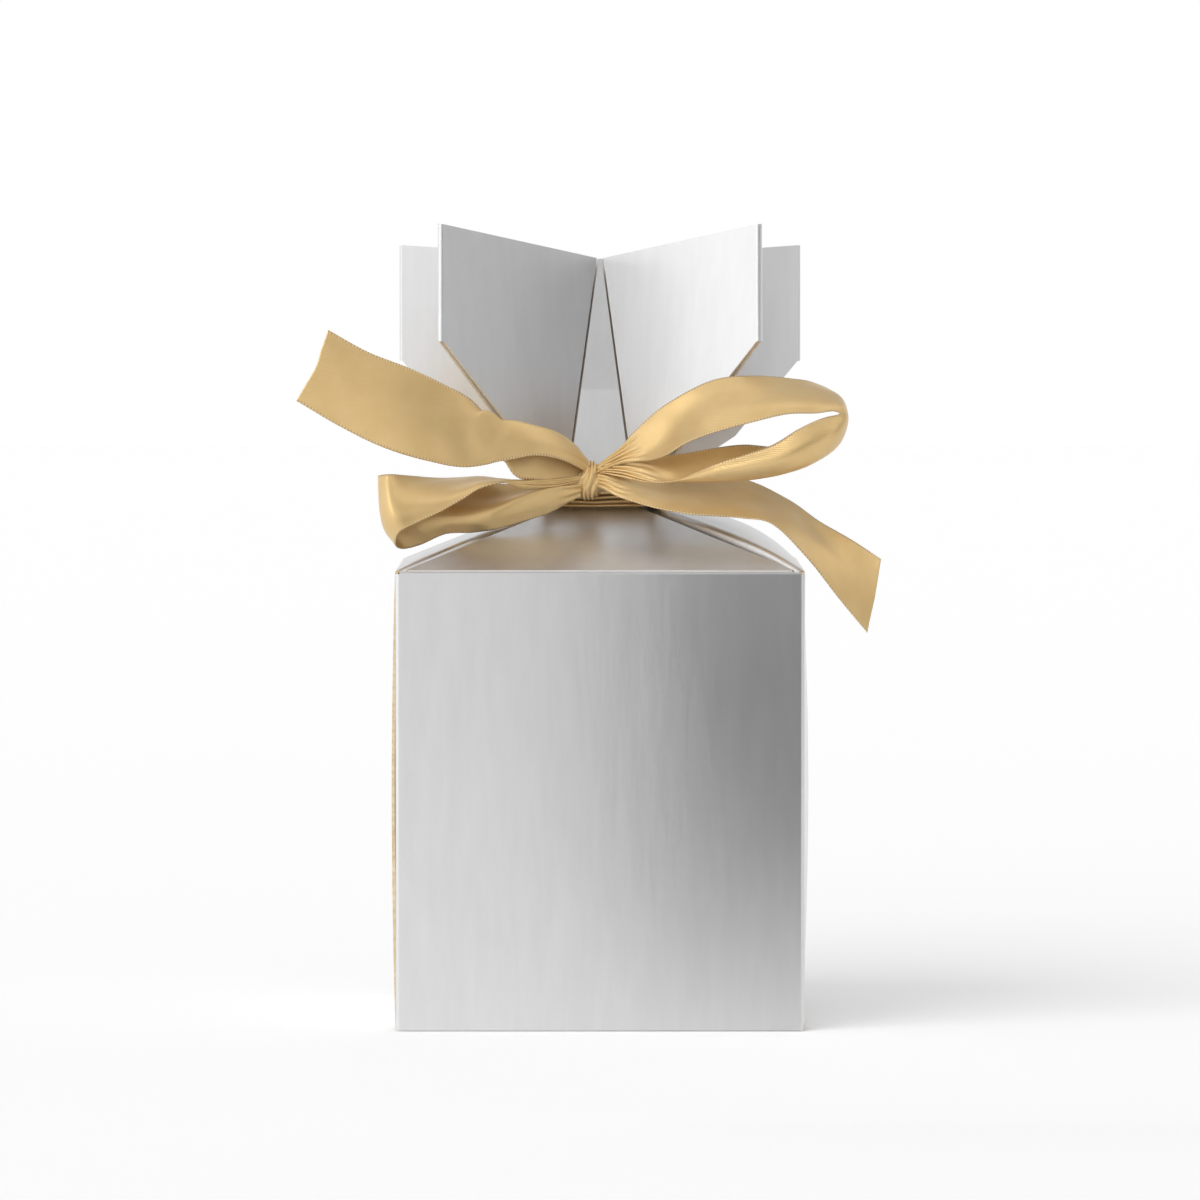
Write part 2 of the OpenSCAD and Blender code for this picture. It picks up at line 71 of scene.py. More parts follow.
camera_data = bpy.data.cameras.new("photo_camera")
camera_data.sensor_width = SENSOR_W
camera_data.lens = SENSOR_W * PIXELS_PER_MM * STAND_OFF / PHOTO_PIXELS
camera_data.clip_end = SEES_FOR
camera = bpy.data.objects.new("photo_camera", camera_data)
scene = bpy.context.scene
scene.collection.objects.link(camera)
rise = math.radians(RISE_DEG)
back_off, up_by = STAND_OFF * math.cos(rise), STAND_OFF * math.sin(rise)
camera.location = Vector((0, FRONT_Y - back_off, WALL_MIDDLE_Z + up_by)) * MM
camera.rotation_euler = (math.radians(90 - TILT_DEG), 0, 0)
scene.camera = camera
print("camera lens %.0f mm, %.0f mm up" % (camera_data.lens, camera.location.z / MM))

# %% [markdown]
# ## Light, floor and backdrop
#
# Foil is judged by what it mirrors, so the studio matters more than usual. The
# world is a plain white room, and it can look whiter to the camera and to
# mirrors than it shines, so that the backdrop is white and the light stays
# plain. The floor does the same and still takes the shadow.

# %% Helpers for what rays see
WHITE = (1, 1, 1, 1)


def link(tree, from_node, output, to_node, socket):
    tree.links.new(from_node.outputs[output], to_node.inputs[socket])


def math_node(tree, operation, *sources):
    """An operation on one or two outputs, each given as (node, output)."""
    made = tree.nodes.new("ShaderNodeMath")
    made.operation = operation
    for socket, (source, output) in enumerate(sources):
        link(tree, source, output, made, socket)
    return made


def range_node(tree, source, output, ends):
    """Stretches one range of values to another. ends names the range's ends."""
    made = tree.nodes.new("ShaderNodeMapRange")
    for end, value in ends.items():
        made.inputs[end].default_value = value
    link(tree, source, output, made, "Value")
    return made


def lifted(tree, low, high):
    """A strength that is high where a ray comes from the camera, a mirror or
    glass, and low elsewhere."""
    path = tree.nodes.new("ShaderNodeLightPath")
    either = math_node(tree, "MAXIMUM", (path, "Is Camera Ray"), (path, "Is Glossy Ray"))
    any_of = math_node(tree, "MAXIMUM", (either, 0), (path, "Is Transmission Ray"))
    return range_node(tree, any_of, 0, {"To Min": low, "To Max": high})


# %% World
ROOM_LIGHT = 0.54

scene.view_settings.view_transform = "Standard"
world = bpy.data.worlds.new("studio")
scene.world = world
world.use_nodes = True
tree = world.node_tree
background = tree.nodes["Background"]
background.inputs["Color"].default_value = WHITE
link(tree, lifted(tree, ROOM_LIGHT, 1.0), "Result", background, "Strength")
print("world shines at", ROOM_LIGHT, "and looks white")

# %% Floor
FLOOR_SIZE = 8
FLOOR_GREY = (0.93, 0.93, 0.93, 1)
FLOOR_ROUGHNESS = 0.9
FLOOR_LIFT = 0.17


def lay_plane(name, size, place, turn):
    """A square plane. All else is deselected first, as operators ask for."""
    bpy.ops.object.select_all(action="DESELECT")
    bpy.ops.mesh.primitive_plane_add(size=size, location=place, rotation=turn)
    made = bpy.context.object
    made.name = made.data.name = name
    return made


floor = lay_plane("studio_floor", FLOOR_SIZE, (0, 0, 0), (0, 0, 0))
paper = bpy.data.materials.new("floor_paper")
paper.use_nodes = True
tree = paper.node_tree
surface = tree.nodes["Principled BSDF"]
surface.inputs["Base Color"].default_value = FLOOR_GREY
surface.inputs["Roughness"].default_value = FLOOR_ROUGHNESS
surface.inputs["Emission Color"].default_value = WHITE
link(tree, lifted(tree, 0.0, FLOOR_LIFT), "Result", surface, "Emission Strength")
floor.data.materials.append(paper)
print("floor", round(floor.dimensions.x, 1), "m wide")

# %% [markdown]
# ## Lamps and mirror boards
#
# A wide, distant lamp stands high at the front left and throws the soft shadow
# to the right. A lower one nearer the front, which the foil doesn't mirror,
# draws the shadow out to the back. Boards near the box give the foil something
# darker or brighter to mirror, as a photographer's flags do. The camera doesn't
# see them and they cast no shadow.

# %% Lamps
for name, sun_from, energy, width_deg, mirrored_too in (
    ("key_lamp", (-0.70, -0.70, 0.82), 1.15, 44, True),
    ("front_lamp", (-0.28, -0.92, 0.44), 0.65, 30, False),
):
    lamp_data = bpy.data.lights.new(name, "SUN")
    lamp_data.energy = energy
    lamp_data.angle = math.radians(width_deg)
    lamp = bpy.data.objects.new(name, lamp_data)
    scene.collection.objects.link(lamp)
    lamp.location = sun_from
    lamp.rotation_euler = (-Vector(sun_from)).to_track_quat("-Z", "Y").to_euler()
    lamp.visible_glossy = mirrored_too
    print(name, "at strength", energy)


# %% One board
def mirror_board(name, place, aim, width, height, grey):
    """A board that only foil and satin see. A grey over one is a bright one."""
    turn = (Vector(aim) - Vector(place)).to_track_quat("-Z", "Y").to_euler()
    board = lay_plane(name, 1, place, turn)
    board.scale = (width, height, 1)
    skin = bpy.data.materials.new(name)
    skin.use_nodes = True
    skin.node_tree.nodes.clear()
    glow = skin.node_tree.nodes.new("ShaderNodeEmission")
    out = skin.node_tree.nodes.new("ShaderNodeOutputMaterial")
    glow.inputs["Color"].default_value = (grey, grey, grey, 1)
    glow.inputs["Strength"].default_value = 1.0
    link(skin.node_tree, glow, 0, out, "Surface")
    board.data.materials.append(skin)
    board.visible_camera = False
    board.visible_diffuse = False
    board.visible_shadow = False


# %% Boards
CENTRE = (0, 0, 0.06)
BOARDS = (
    ("front_board", (0.057, -0.17, 0.051), (0.057, 0, 0.051), 0.094, 0.104, 0.0),
    ("petal_board", (0.100, -0.17, 0.185), (0.100, 0, 0.185), 0.120, 0.090, 0.0),
    ("spire_board", (0.005, -0.17, 0.225), (0.005, 0, 0.225), 0.060, 0.080, 0.40),
    ("glow_board", (-0.34, -0.58, 0.24), (-0.34, 0, 0.24), 0.20, 0.14, 1.2),
    ("left_board", (-0.46, -0.15, 0.11), (0, 0, 0.11), 0.26, 0.22, 1.35),
    ("hood_board", (-0.15, -0.30, 0.48), CENTRE, 0.60, 0.26, 0.35),
    ("wide_board", (0, -0.60, 0.30), (0, 0, 0.30), 0.90, 0.62, 0.72),
    ("right_board", (0.45, -0.10, 0.15), CENTRE, 0.40, 0.40, 0.50),
    ("top_board", (0, 0.30, 0.45), CENTRE, 0.80, 0.50, 0.45),
)
for name, place, aim, width, height, grey in BOARDS:
    mirror_board(name, place, aim, width, height, grey)
print(len(BOARDS), "boards placed")

# %% [markdown]
# ## Silver foil card
#
# Foil card is a metal film on paper. It mirrors softly, and the paper's fibres
# show through as a faint upright mottling. Noise stretched along the height
# moves both the roughness and a shallow bump. The inside of the blank is bare
# card, and a cut edge shows its cream core.


# %% Material helpers
def new_material(name):
    made = bpy.data.materials.new(name)
    made.use_nodes = True
    return made, made.node_tree, made.node_tree.nodes["Principled BSDF"]


def place_node(tree, scale, coordinates="Object"):
    """Coordinates stretched by scale, for a pattern to follow."""
    where = tree.nodes.new("ShaderNodeTexCoord")
    mapping = tree.nodes.new("ShaderNodeMapping")
    mapping.inputs["Scale"].default_value = scale
    link(tree, where, coordinates, mapping, "Vector")
    return mapping


def noise_node(tree, mapping, scale, detail, rough=0.55):
    """Cloudy noise. The detail is how many finer layers it has."""
    made = tree.nodes.new("ShaderNodeTexNoise")
    made.inputs["Scale"].default_value = scale
    made.inputs["Detail"].default_value = detail
    made.inputs["Roughness"].default_value = rough
    link(tree, mapping, "Vector", made, "Vector")
    return made


# %% Helpers for tone and relief
def ramp_node(tree, source, output, stops):
    """Two colours, and the places of the pattern that they stand for."""
    made = tree.nodes.new("ShaderNodeValToRGB")
    for spot, (place, colour) in zip(made.color_ramp.elements, stops):
        spot.position = place
        spot.color = (*colour, 1)
    link(tree, source, output, made, "Fac")
    return made


def bump_node(tree, source, output, strength, distance, under=None):
    made = tree.nodes.new("ShaderNodeBump")
    made.inputs["Strength"].default_value = strength
    made.inputs["Distance"].default_value = distance
    link(tree, source, output, made, "Height")
    if under is not None:
        link(tree, under, "Normal", made, "Normal")
    return made


# %% Foil
FOIL_GREYS = [(0.3, (0.735, 0.735, 0.74)), (0.7, (0.775, 0.775, 0.78))]
FOIL_METAL = 0.94
FOIL_ROUGHNESS = (0.31, 0.37)
UPRIGHT_FIBRES, SLOW_CLOUD = (1, 1, 0.16), (1, 1, 0.6)
FIBRE_NOISE, CLOUD_NOISE = (520, 5.0, 0.6), (55, 2.0)
FIBRE_BUMP, FIBRE_HEIGHT = 0.10, 0.0002

foil, tree, surface = new_material("silver_foil")
fibres = noise_node(tree, place_node(tree, UPRIGHT_FIBRES), *FIBRE_NOISE)
cloud = noise_node(tree, place_node(tree, SLOW_CLOUD), *CLOUD_NOISE)
tone = ramp_node(tree, fibres, "Fac", FOIL_GREYS)
link(tree, tone, "Color", surface, "Base Color")
surface.inputs["Metallic"].default_value = FOIL_METAL
gloss_ends = {"To Min": FOIL_ROUGHNESS[0], "To Max": FOIL_ROUGHNESS[1]}
gloss = range_node(tree, cloud, "Fac", gloss_ends)
link(tree, gloss, "Result", surface, "Roughness")
relief = bump_node(tree, fibres, "Fac", FIBRE_BUMP, FIBRE_HEIGHT)
link(tree, relief, "Normal", surface, "Normal")
print(foil.name, "roughness from %.2f to %.2f" % FOIL_ROUGHNESS)


# %% Inside and core of the card
BARE_HEIGHT = 0.0001


def bare_card(name, scale, detail, tones, roughness, bump):
    """A matt card material with a fine fibre pattern."""
    made, tree, surface = new_material(name)
    fibres = noise_node(tree, place_node(tree, (1, 1, 1)), scale, detail)
    link(tree, ramp_node(tree, fibres, "Fac", tones), "Color", surface, "Base Color")
    surface.inputs["Roughness"].default_value = roughness
    if bump:
        relief = bump_node(tree, fibres, "Fac", bump, BARE_HEIGHT)
        link(tree, relief, "Normal", surface, "Normal")
    return made


INSIDE_TONES = [(0.35, (0.66, 0.62, 0.56)), (0.7, (0.80, 0.77, 0.71))]
CORE_TONES = [(0.3, (0.60, 0.45, 0.27)), (0.75, (0.80, 0.68, 0.50))]
inside = bare_card("card_inside", 900, 5.0, INSIDE_TONES, 0.85, 0.15)
core = bare_card("card_core", 1500, 3.0, CORE_TONES, 0.9, 0)
CARD = (foil, inside, core)
print("card materials:", [m.name for m in CARD])

# %% [markdown]
# ## Where the card folds
#
# The same fold points as in the model's source place every panel. They lie on
# the middle plane of the card, so a panel's foil face is half a thickness
# outside them.

# %% Sizes of the blank
CARD_T = 0.45
HALF_T = CARD_T / 2
BODY_HALF = 30
MID_HALF = BODY_HALF - HALF_T
CREASE_Z = 67.5 - HALF_T
NECK_Z = 76.2
NECK_HALF = 5.7
TIP_Z = 113.1
CREASE_R = 0.7
FOLD_R = 0.55
FOLD_AIR = 0.1
X, Y, Z = Vector((1, 0, 0)), Vector((0, 1, 0)), Vector((0, 0, 1))

front_tip = Vector((0, 2.22, TIP_Z))
side_tip = Vector((-1.2, 4.26, TIP_Z))
back_tip = Vector((0, 6.12, TIP_Z))
front_fold_top = Vector((-23.82, -15.48, 118.303))
front_fold_foot = Vector((-23.82, -17.7, 101.503))
back_fold_top = Vector((-30.18, 10.98, 115.203))
back_fold_foot = Vector((-30.18, 10.98, 98.403))
print("petal folds %.1f mm long" % (back_fold_top - back_fold_foot).length)


# %% Planes of the petals
def across(a, b, c):
    """The unit normal of the plane through three points."""
    return (b - a).cross(c - a).normalized()


def meet(a, b, c, start, direction):
    """Where the line from start along direction crosses the plane a, b, c."""
    n = across(a, b, c)
    return start + direction * ((a - start).dot(n) / direction.dot(n))


def fin_side(fold, root):
    """The level direction square to a petal, seen as a thin fin."""
    run = root - fold
    return Z.cross(Vector((run.x, run.y, 0))).normalized()


def moved(points, offset):
    return tuple(p + offset for p in points)


fold_gap = HALF_T + FOLD_AIR
front_fold = (front_fold_top, front_fold_foot)
back_fold = (back_fold_top, back_fold_foot)
front_side = fin_side(front_fold_top, (front_tip + side_tip) / 2)
back_side = fin_side(back_fold_top, (back_tip + side_tip) / 2)
halves = {
    "front_a": moved(front_fold, front_side * -fold_gap),
    "front_b": moved(front_fold, front_side * fold_gap),
    "back_b": moved(back_fold, back_side * -fold_gap),
    "back_a": moved(back_fold, back_side * fold_gap),
}

# %% Corners of the neck
neck_left, neck_front = Vector((-NECK_HALF, 0, NECK_Z)), Vector((0, -NECK_HALF, NECK_Z))
neck_back = Vector((0, NECK_HALF, NECK_Z))
front_neck = meet(front_tip, *halves["front_a"], neck_left, Y)
back_neck = meet(back_tip, *halves["back_a"], neck_left, Y)
left_neck_front = meet(side_tip, *halves["front_b"], neck_front, X)
left_neck_back = meet(side_tip, *halves["back_b"], neck_back, X)
for name, p in (("front", front_neck), ("back", back_neck), ("left", left_neck_front)):
    print(name, "neck corner in mm:", [round(v, 2) for v in p])

# %% [markdown]
# ## One panel of card
#
# Every panel is cut the way a blank is cut: a square sheet is laid in the
# panel's plane and trimmed along each side. A side that is a fold then gets its
# half of the rounded crease by spinning its edge about the crease's axis, so it
# meets the next panel in the middle of the fold. The sheet gets its thickness
# last, with one material for the foil, one for the inside and one for the core.

# %% Find the open edges of a side
ON_LINE = 0.02 * MM


def near_side(point, a, b):
    """Whether a point lies on the line from a to b."""
    run = (b - a).normalized()
    away = point - a
    return (away - run * away.dot(run)).length < ON_LINE


def select_open_edges(piece, wanted):
    """Selects the open edges of the mesh whose ends are both wanted."""
    bpy.ops.mesh.select_all(action="DESELECT")
    mesh = bmesh.from_edit_mesh(piece.data)
    found = 0
    for edge in mesh.edges:
        if edge.is_boundary and all(wanted(v.co) for v in edge.verts):
            edge.select_set(True)
            found += 1
    mesh.select_flush_mode()
    bmesh.update_edit_mesh(piece.data)
    return found


# %% Lay, trim and round a sheet
SHEET_SHARE = 2.4
MERGE = 0.002 * MM
SMOOTH_BELOW = math.radians(35)


def lay_sheet(name, corners):
    """A square sheet, large enough for the corners, in their plane."""
    middle = sum(corners, Vector()) / len(corners)
    up = across(*corners[:3])
    along = (corners[1] - corners[0]).normalized()
    turn = Matrix((along, up.cross(along), up)).transposed().to_euler()
    reach = SHEET_SHARE * max((c - middle).length for c in corners)
    piece = lay_plane(name, reach, middle, turn)
    bpy.ops.object.transform_apply(location=True, rotation=True, scale=True)
    return piece, up


def trim(point, outward):
    """Cuts off what lies beyond point on the outward side."""
    bpy.ops.mesh.select_all(action="SELECT")
    bpy.ops.mesh.bisect(plane_co=point, plane_no=outward, clear_outer=True)


def spin_side(piece, a, b, up, outward, radius, angle, steps):
    """Rounds the side a, b over by angle about the axis of its crease."""
    if select_open_edges(piece, lambda place: near_side(place, a, b)):
        axis = outward.cross(up)
        bpy.ops.mesh.spin(steps=steps, angle=angle, center=a - up * radius, axis=axis)


# %% Give the card its thickness
def thicken(piece, up):
    """Merges, faces outwards and gives the card its thickness and edges."""
    bpy.ops.object.mode_set(mode="EDIT")
    bpy.ops.mesh.select_all(action="SELECT")
    bpy.ops.mesh.remove_doubles(threshold=MERGE)
    bpy.ops.mesh.normals_make_consistent(inside=False)
    bpy.ops.object.mode_set(mode="OBJECT")
    largest = max(piece.data.polygons, key=lambda face: face.area)
    if largest.normal.dot(up) < 0:
        piece.data.flip_normals()
    for material in CARD:
        piece.data.materials.append(material)
    wall = piece.modifiers.new("card", "SOLIDIFY")
    wall.thickness = CARD_T * MM
    wall.offset = -1
    wall.use_even_offset = True
    wall.material_offset = 1
    wall.material_offset_rim = 2
    bpy.ops.object.modifier_apply(modifier=wall.name)
    bpy.ops.object.shade_smooth_by_angle(angle=SMOOTH_BELOW)


# %% Cut and fold one panel
def panel(name, node, body, corners, sides, shape=None):
    """One panel of card. corners are in mm on its foil face, anticlockwise as
    seen from outside. sides holds, for the side from each corner to the next,
    None for a cut or (radius, whole turn, share of the turn, steps). shape may
    change the flat sheet before its creases are rounded."""
    corners = [c * MM for c in corners]
    piece, up = lay_sheet(name, corners)
    bpy.ops.object.mode_set(mode="EDIT")
    trimmed = []
    for i, side in enumerate(sides):
        a, b = corners[i], corners[(i + 1) % len(corners)]
        outward = (b - a).cross(up).normalized()
        back = side[0] * MM * math.tan(side[1] / 2) if side else 0
        a, b = a - outward * back, b - outward * back
        trim(a, outward)
        trimmed.append((a, b, outward))
    if shape:
        shape(piece, trimmed)
    for side, (a, b, outward) in zip(sides, trimmed):
        if side:
            radius, turn, share, steps = side
            spin_side(piece, a, b, up, outward, radius * MM, turn * share, steps)
    bpy.ops.object.mode_set(mode="OBJECT")
    thicken(piece, up)
    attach(piece, body)
    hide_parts(node)
    print(name, len(piece.data.polygons), "faces")


# %% Helpers for places
def other_side(p):
    return Vector((-p.x, p.y, p.z))


def mirrored(points):
    """The same points on the other side of the box, still anticlockwise."""
    return [other_side(p) for p in reversed(points)]


def raised(points, up):
    """Points of the middle plane, moved to the foil face."""
    return [p + up * HALF_T for p in points]


# %% [markdown]
# ## The four walls
#
# The front and back walls are flat. The side walls swell out a little, as a
# filled carton's do, and the left one ends at the front corner in the raw edge
# of the glued seam. The front wall carries the glue flap, so its left crease
# turns the whole corner. A wall ends where its foil face would meet that of the
# roof, so the roof's planes are worked out first.

# %% Planes of the front and back roof
ROOF_FOOT = 29.2
OUT_FRONT, OUT_BACK = -Y, Y


def crease_height(roof, up, wall_out):
    """How high a roof's foil face meets the foil face of its wall."""
    point = roof[0] + up * HALF_T
    slope = up.cross(X).normalized()
    level = (BODY_HALF - point.dot(wall_out)) / slope.dot(wall_out)
    return point.z + level * slope.z


roof_left, roof_right = -X * ROOF_FOOT + Z * CREASE_Z, X * ROOF_FOOT + Z * CREASE_Z
front_foot, back_foot = OUT_FRONT * MID_HALF, OUT_BACK * MID_HALF
front_roof = [roof_left + front_foot, roof_right + front_foot, other_side(front_neck), front_neck]
back_roof = [roof_right + back_foot, roof_left + back_foot, back_neck, other_side(back_neck)]
front_roof_up = across(*front_roof[:3])
back_roof_up = across(*back_roof[:3])
front_top = crease_height(front_roof, front_roof_up, OUT_FRONT)
back_top = crease_height(back_roof, back_roof_up, OUT_BACK)
print("outer creases at %.3f and %.3f mm" % (front_top, back_top))

# %% Folds of the walls
QUARTER = math.pi / 2
SIDE_TURN = math.radians(46)


def half_fold(turn, steps):
    """A crease that a panel rounds half-way, to meet its neighbour."""
    return (CREASE_R, turn, 0.5, steps)


corner_fold = half_fold(QUARTER, 4)
whole_corner = (CREASE_R, QUARTER, 1.0, 8)
front_crease = half_fold(OUT_FRONT.angle(front_roof_up), 4)
back_crease = half_fold(OUT_BACK.angle(back_roof_up), 4)
side_crease = half_fold(SIDE_TURN, 3)
for name, fold in (("front", front_crease), ("back", back_crease), ("side", side_crease)):
    print(name, "roof folds by %.1f degrees" % math.degrees(fold[1]))

# %% Swell a side wall
SIDE_BOW = 1.1
SEAM_LIFT = 0.5
SEAM_FADE = 0.09
WALL_CUTS = 15


def subdivided(piece, cuts):
    """Cuts the whole sheet into a grid, and gives its mesh for editing."""
    bpy.ops.mesh.select_all(action="SELECT")
    bpy.ops.mesh.subdivide(number_cuts=cuts)
    return bmesh.from_edit_mesh(piece.data)


def bow_wall(x_side, seam):
    """Swells a side wall outwards from its middle. Where the glued seam is, the
    wall's front edge stands out too."""

    def shape(piece, trimmed):
        mesh = subdivided(piece, WALL_CUTS)
        ys = [v.co.y for v in mesh.verts]
        zs = [v.co.z for v in mesh.verts]
        y_low, y_high, z_low, z_high = min(ys), max(ys), min(zs), max(zs)
        for v in mesh.verts:
            y = (v.co.y - y_low) / (y_high - y_low)
            z = (v.co.z - z_low) / (z_high - z_low)
            rise_z = 4 * z * (1 - z)
            out = SIDE_BOW * 4 * y * (1 - y) * rise_z
            if seam:
                out += SEAM_LIFT * math.exp(-y / SEAM_FADE) * rise_z
            v.co.x += x_side * out * MM
        bmesh.update_edit_mesh(piece.data)

    return shape


# %% Walls
FRONT_FOOT, BACK_FOOT, SIDE_FOOT = 0.12, 0.6, 1.05
SIDE_TOP = 67.42
SEAM_EDGE = 29.45


def wall_corners(out, foot, top, right):
    """The corners of the wall on the side out, anticlockwise from outside.
    right is how far it reaches from its middle to the right, seen from there."""
    along = Z.cross(out)
    start, end = out * BODY_HALF - along * BODY_HALF, out * BODY_HALF + along * right
    return [start + Z * foot, end + Z * foot, end + Z * top, start + Z * top]


front_corners = wall_corners(OUT_FRONT, FRONT_FOOT, front_top, BODY_HALF)
back_corners = wall_corners(OUT_BACK, BACK_FOOT, back_top, BODY_HALF)
right_corners = wall_corners(X, SIDE_FOOT, SIDE_TOP, BODY_HALF)
left_corners = wall_corners(-X, SIDE_FOOT, SIDE_TOP, SEAM_EDGE)
for side, corners, folds, shape in (
    ("front", front_corners, [None, corner_fold, front_crease, whole_corner], None),
    ("back", back_corners, [None, corner_fold, back_crease, corner_fold], None),
    ("right", right_corners, [None, corner_fold, side_crease, corner_fold], bow_wall(1, False)),
    ("left", left_corners, [None, None, side_crease, corner_fold], bow_wall(-1, True)),
):
    panel(side + "_wall_card", side + "_wall", "carton", corners, folds, shape)

# %% [markdown]
# ## The roof
#
# Four panels lean in from the walls to the neck. The front and back ones are
# flat. The side ones arch up, because the pinched corners push them, and that
# opens a dark slit beside the front panel. Their slanting sides are folds that
# go down into the corner gussets, so they are rounded over too.

# %% Front and back roof
SLANT = (0.45, QUARTER, 1.0, 5)

for side, corners, up, crease in (
    ("front", front_roof, front_roof_up, front_crease),
    ("back", back_roof, back_roof_up, back_crease),
):
    sides = [crease, SLANT, None, SLANT]
    panel(side + "_roof_card", side + "_roof", "carton", raised(corners, up), sides)

# %% Corners of the side roofs
FOLD_BACK = 1.2

left_neck_out = (left_neck_front.x + left_neck_back.x) / 2
side_foot, side_neck = ROOF_FOOT - FOLD_BACK, NECK_HALF - FOLD_BACK
left_roof = [
    Vector((-MID_HALF, side_foot, CREASE_Z)),
    Vector((-MID_HALF, -side_foot, CREASE_Z)),
    Vector((left_neck_out, -side_neck, NECK_Z)),
    Vector((left_neck_out, side_neck, NECK_Z)),
]
right_roof = [other_side(left_roof[i]) for i in (1, 0, 3, 2)]
print("side roofs end %.2f mm from the middle" % -left_neck_out)

# %% Fold a slanting side down
SAME_POINT = 0.001 * MM
FOLD_STEPS = [(0.34, 0.05), (0.29, 0.18), (0.18, 0.29), (0.05, 0.34), (0, 2.4)]


def fold_down(piece, places, outward, up):
    """Draws the edge through the places out over the fold and then down."""
    select_open_edges(piece, lambda place: any((place - p).length < SAME_POINT for p in places))
    for out, down in FOLD_STEPS:
        move = outward * out - (up if out else Z) * down
        bpy.ops.mesh.extrude_region_move(TRANSFORM_OT_translate={"value": move * MM})


# %% Arch a side roof
ROOF_CUTS = 15
SLANTING = (1, 3)
FOOT_SHARE, NECK_LOSS = 1.2, 0.4
EDGE_LOSS = 0.6


def arch_roof(rise_mm, up, foot, neck):
    """Arches a side roof between its foot and the neck, less towards the neck
    and much less at its edges, and folds its slanting sides down."""
    slope = neck - foot
    run = slope.length

    def shape(piece, trimmed):
        mesh = subdivided(piece, ROOF_CUTS)
        sides = {}
        along = [(v.co / MM - foot).dot(slope) / run / run for v in mesh.verts]
        low, high = min(along), max(along)
        for v, t in zip(mesh.verts, along):
            ends = [i for i in SLANTING if v.is_boundary and near_side(v.co, *trimmed[i][:2])]
            s = (t - low) / (high - low)
            half = side_foot + (side_neck - side_foot) * t
            w = v.co.y / MM / half
            out = rise_mm * 4 * s * (1 - s) * (FOOT_SHARE - NECK_LOSS * s) * (1 - EDGE_LOSS * w * w)
            v.co += up * out * MM
            for i in ends:
                sides.setdefault(i, []).append(v.co.copy())
        bmesh.update_edit_mesh(piece.data)
        for i, places in sides.items():
            fold_down(piece, places, trimmed[i][2], up)

    return shape


# %% Side roofs
ROOF_BOW = 2.6
HELD_SHARE = 0.2

for side, corners, rise_mm, x_side in (
    ("left", left_roof, HELD_SHARE * ROOF_BOW, -1),
    ("right", right_roof, ROOF_BOW, 1),
):
    up = across(*corners[:3])
    foot = Vector((x_side * MID_HALF, 0, CREASE_Z))
    neck = Vector((-x_side * left_neck_out, 0, NECK_Z))
    shape = arch_roof(rise_mm, up, foot, neck)
    panel(side + "_roof_card", side + "_roof", "carton", raised(corners, up), [None] * 4, shape)

# %% [markdown]
# ## The crown
#
# Above the neck each wall ends in a narrow spire, and the card between two
# spires stands out as a petal: two halves, back to back, joined at a rounded
# outer fold. A spire is scored across, and the front one's long sides bend back
# into the creases beside it. The petals' top and slanting lower sides are cut,
# so the pale core shows there.

# %% Score a spire
SIDE_FOLD = 0.42
SCORE_Z = 93.6
SCORE_HALF = 0.35
SCORE_RIDGE = 0.05
ON_SCORE = 0.1


def scored(up, drop):
    """Bends a spire's long sides back by drop into the creases beside the
    petals, and raises the score line that crosses it by a hair."""

    def shape(piece, trimmed):
        long_sides = (trimmed[1], trimmed[3])
        cuts = [(a - outward * SIDE_FOLD * MM, outward) for a, b, outward in long_sides if drop]
        cuts += [(Z * (SCORE_Z + rise) * MM, Z) for rise in (-SCORE_HALF, 0, SCORE_HALF)]
        for point, normal in cuts:
            bpy.ops.mesh.select_all(action="SELECT")
            bpy.ops.mesh.bisect(plane_co=point, plane_no=normal)
        mesh = bmesh.from_edit_mesh(piece.data)
        for v in mesh.verts:
            ridge = SCORE_RIDGE if abs(v.co.z / MM - SCORE_Z) < ON_SCORE else 0
            on_side = any(near_side(v.co, a, b) for a, b, outward in long_sides)
            v.co += up * (ridge - (drop if on_side else 0)) * MM
        bmesh.update_edit_mesh(piece.data)

    return shape


# %% Spires
ROOT_GAP = 0.12
FRONT_GAP = 0.16
FRONT_DROP = 0.36


def spire(side, feet, tip, tip_out, root_gap=ROOT_GAP, drop=0):
    """A narrow panel from the neck to the tip. It is a little wider than a point
    there, so that it closes the view between the roots of the petals."""
    left, right = feet
    run = (right - left).normalized()
    corners = [left + run * root_gap, right - run * root_gap]
    corners += [tip + run * tip_out[1], tip - run * tip_out[0]]
    up = across(*corners[:3])
    name = side + "_spire"
    panel(name + "_card", name, "carton", raised(corners, up), [None] * 4, scored(up, drop))


left_feet = (left_neck_back, left_neck_front)
spire("front", (front_neck, other_side(front_neck)), front_tip, (0.66, 0.66), FRONT_GAP, FRONT_DROP)
spire("back", (other_side(back_neck), back_neck), back_tip, (0.40, 0.40))
spire("left", left_feet, side_tip, (0.12, 0.50))
spire("right", mirrored(left_feet), other_side(side_tip), (0.50, 0.12))

# %% Outline and foil side of half a petal
PETAL_NOTCH = 1.9
TIP_RELIEF = 0.8
PETAL_FOLD = (FOLD_R, QUARTER, 1.0, 6)


def petal_corners(neck_point, tip, top, foot, knee):
    """The corners of half a petal. The knee is how far its lower side bulges
    out from a straight cut, half-way along."""
    crease = (tip - neck_point).normalized()
    start = neck_point + crease * PETAL_NOTCH
    corner = tip + (top - tip).normalized() * TIP_RELIEF
    cut = foot - start
    bulge = cut.cross(across(start, foot, top)).normalized()
    if bulge.z > 0:
        bulge.negate()
    return [start, start + cut * 0.5 + bulge * knee, foot, top, corner]


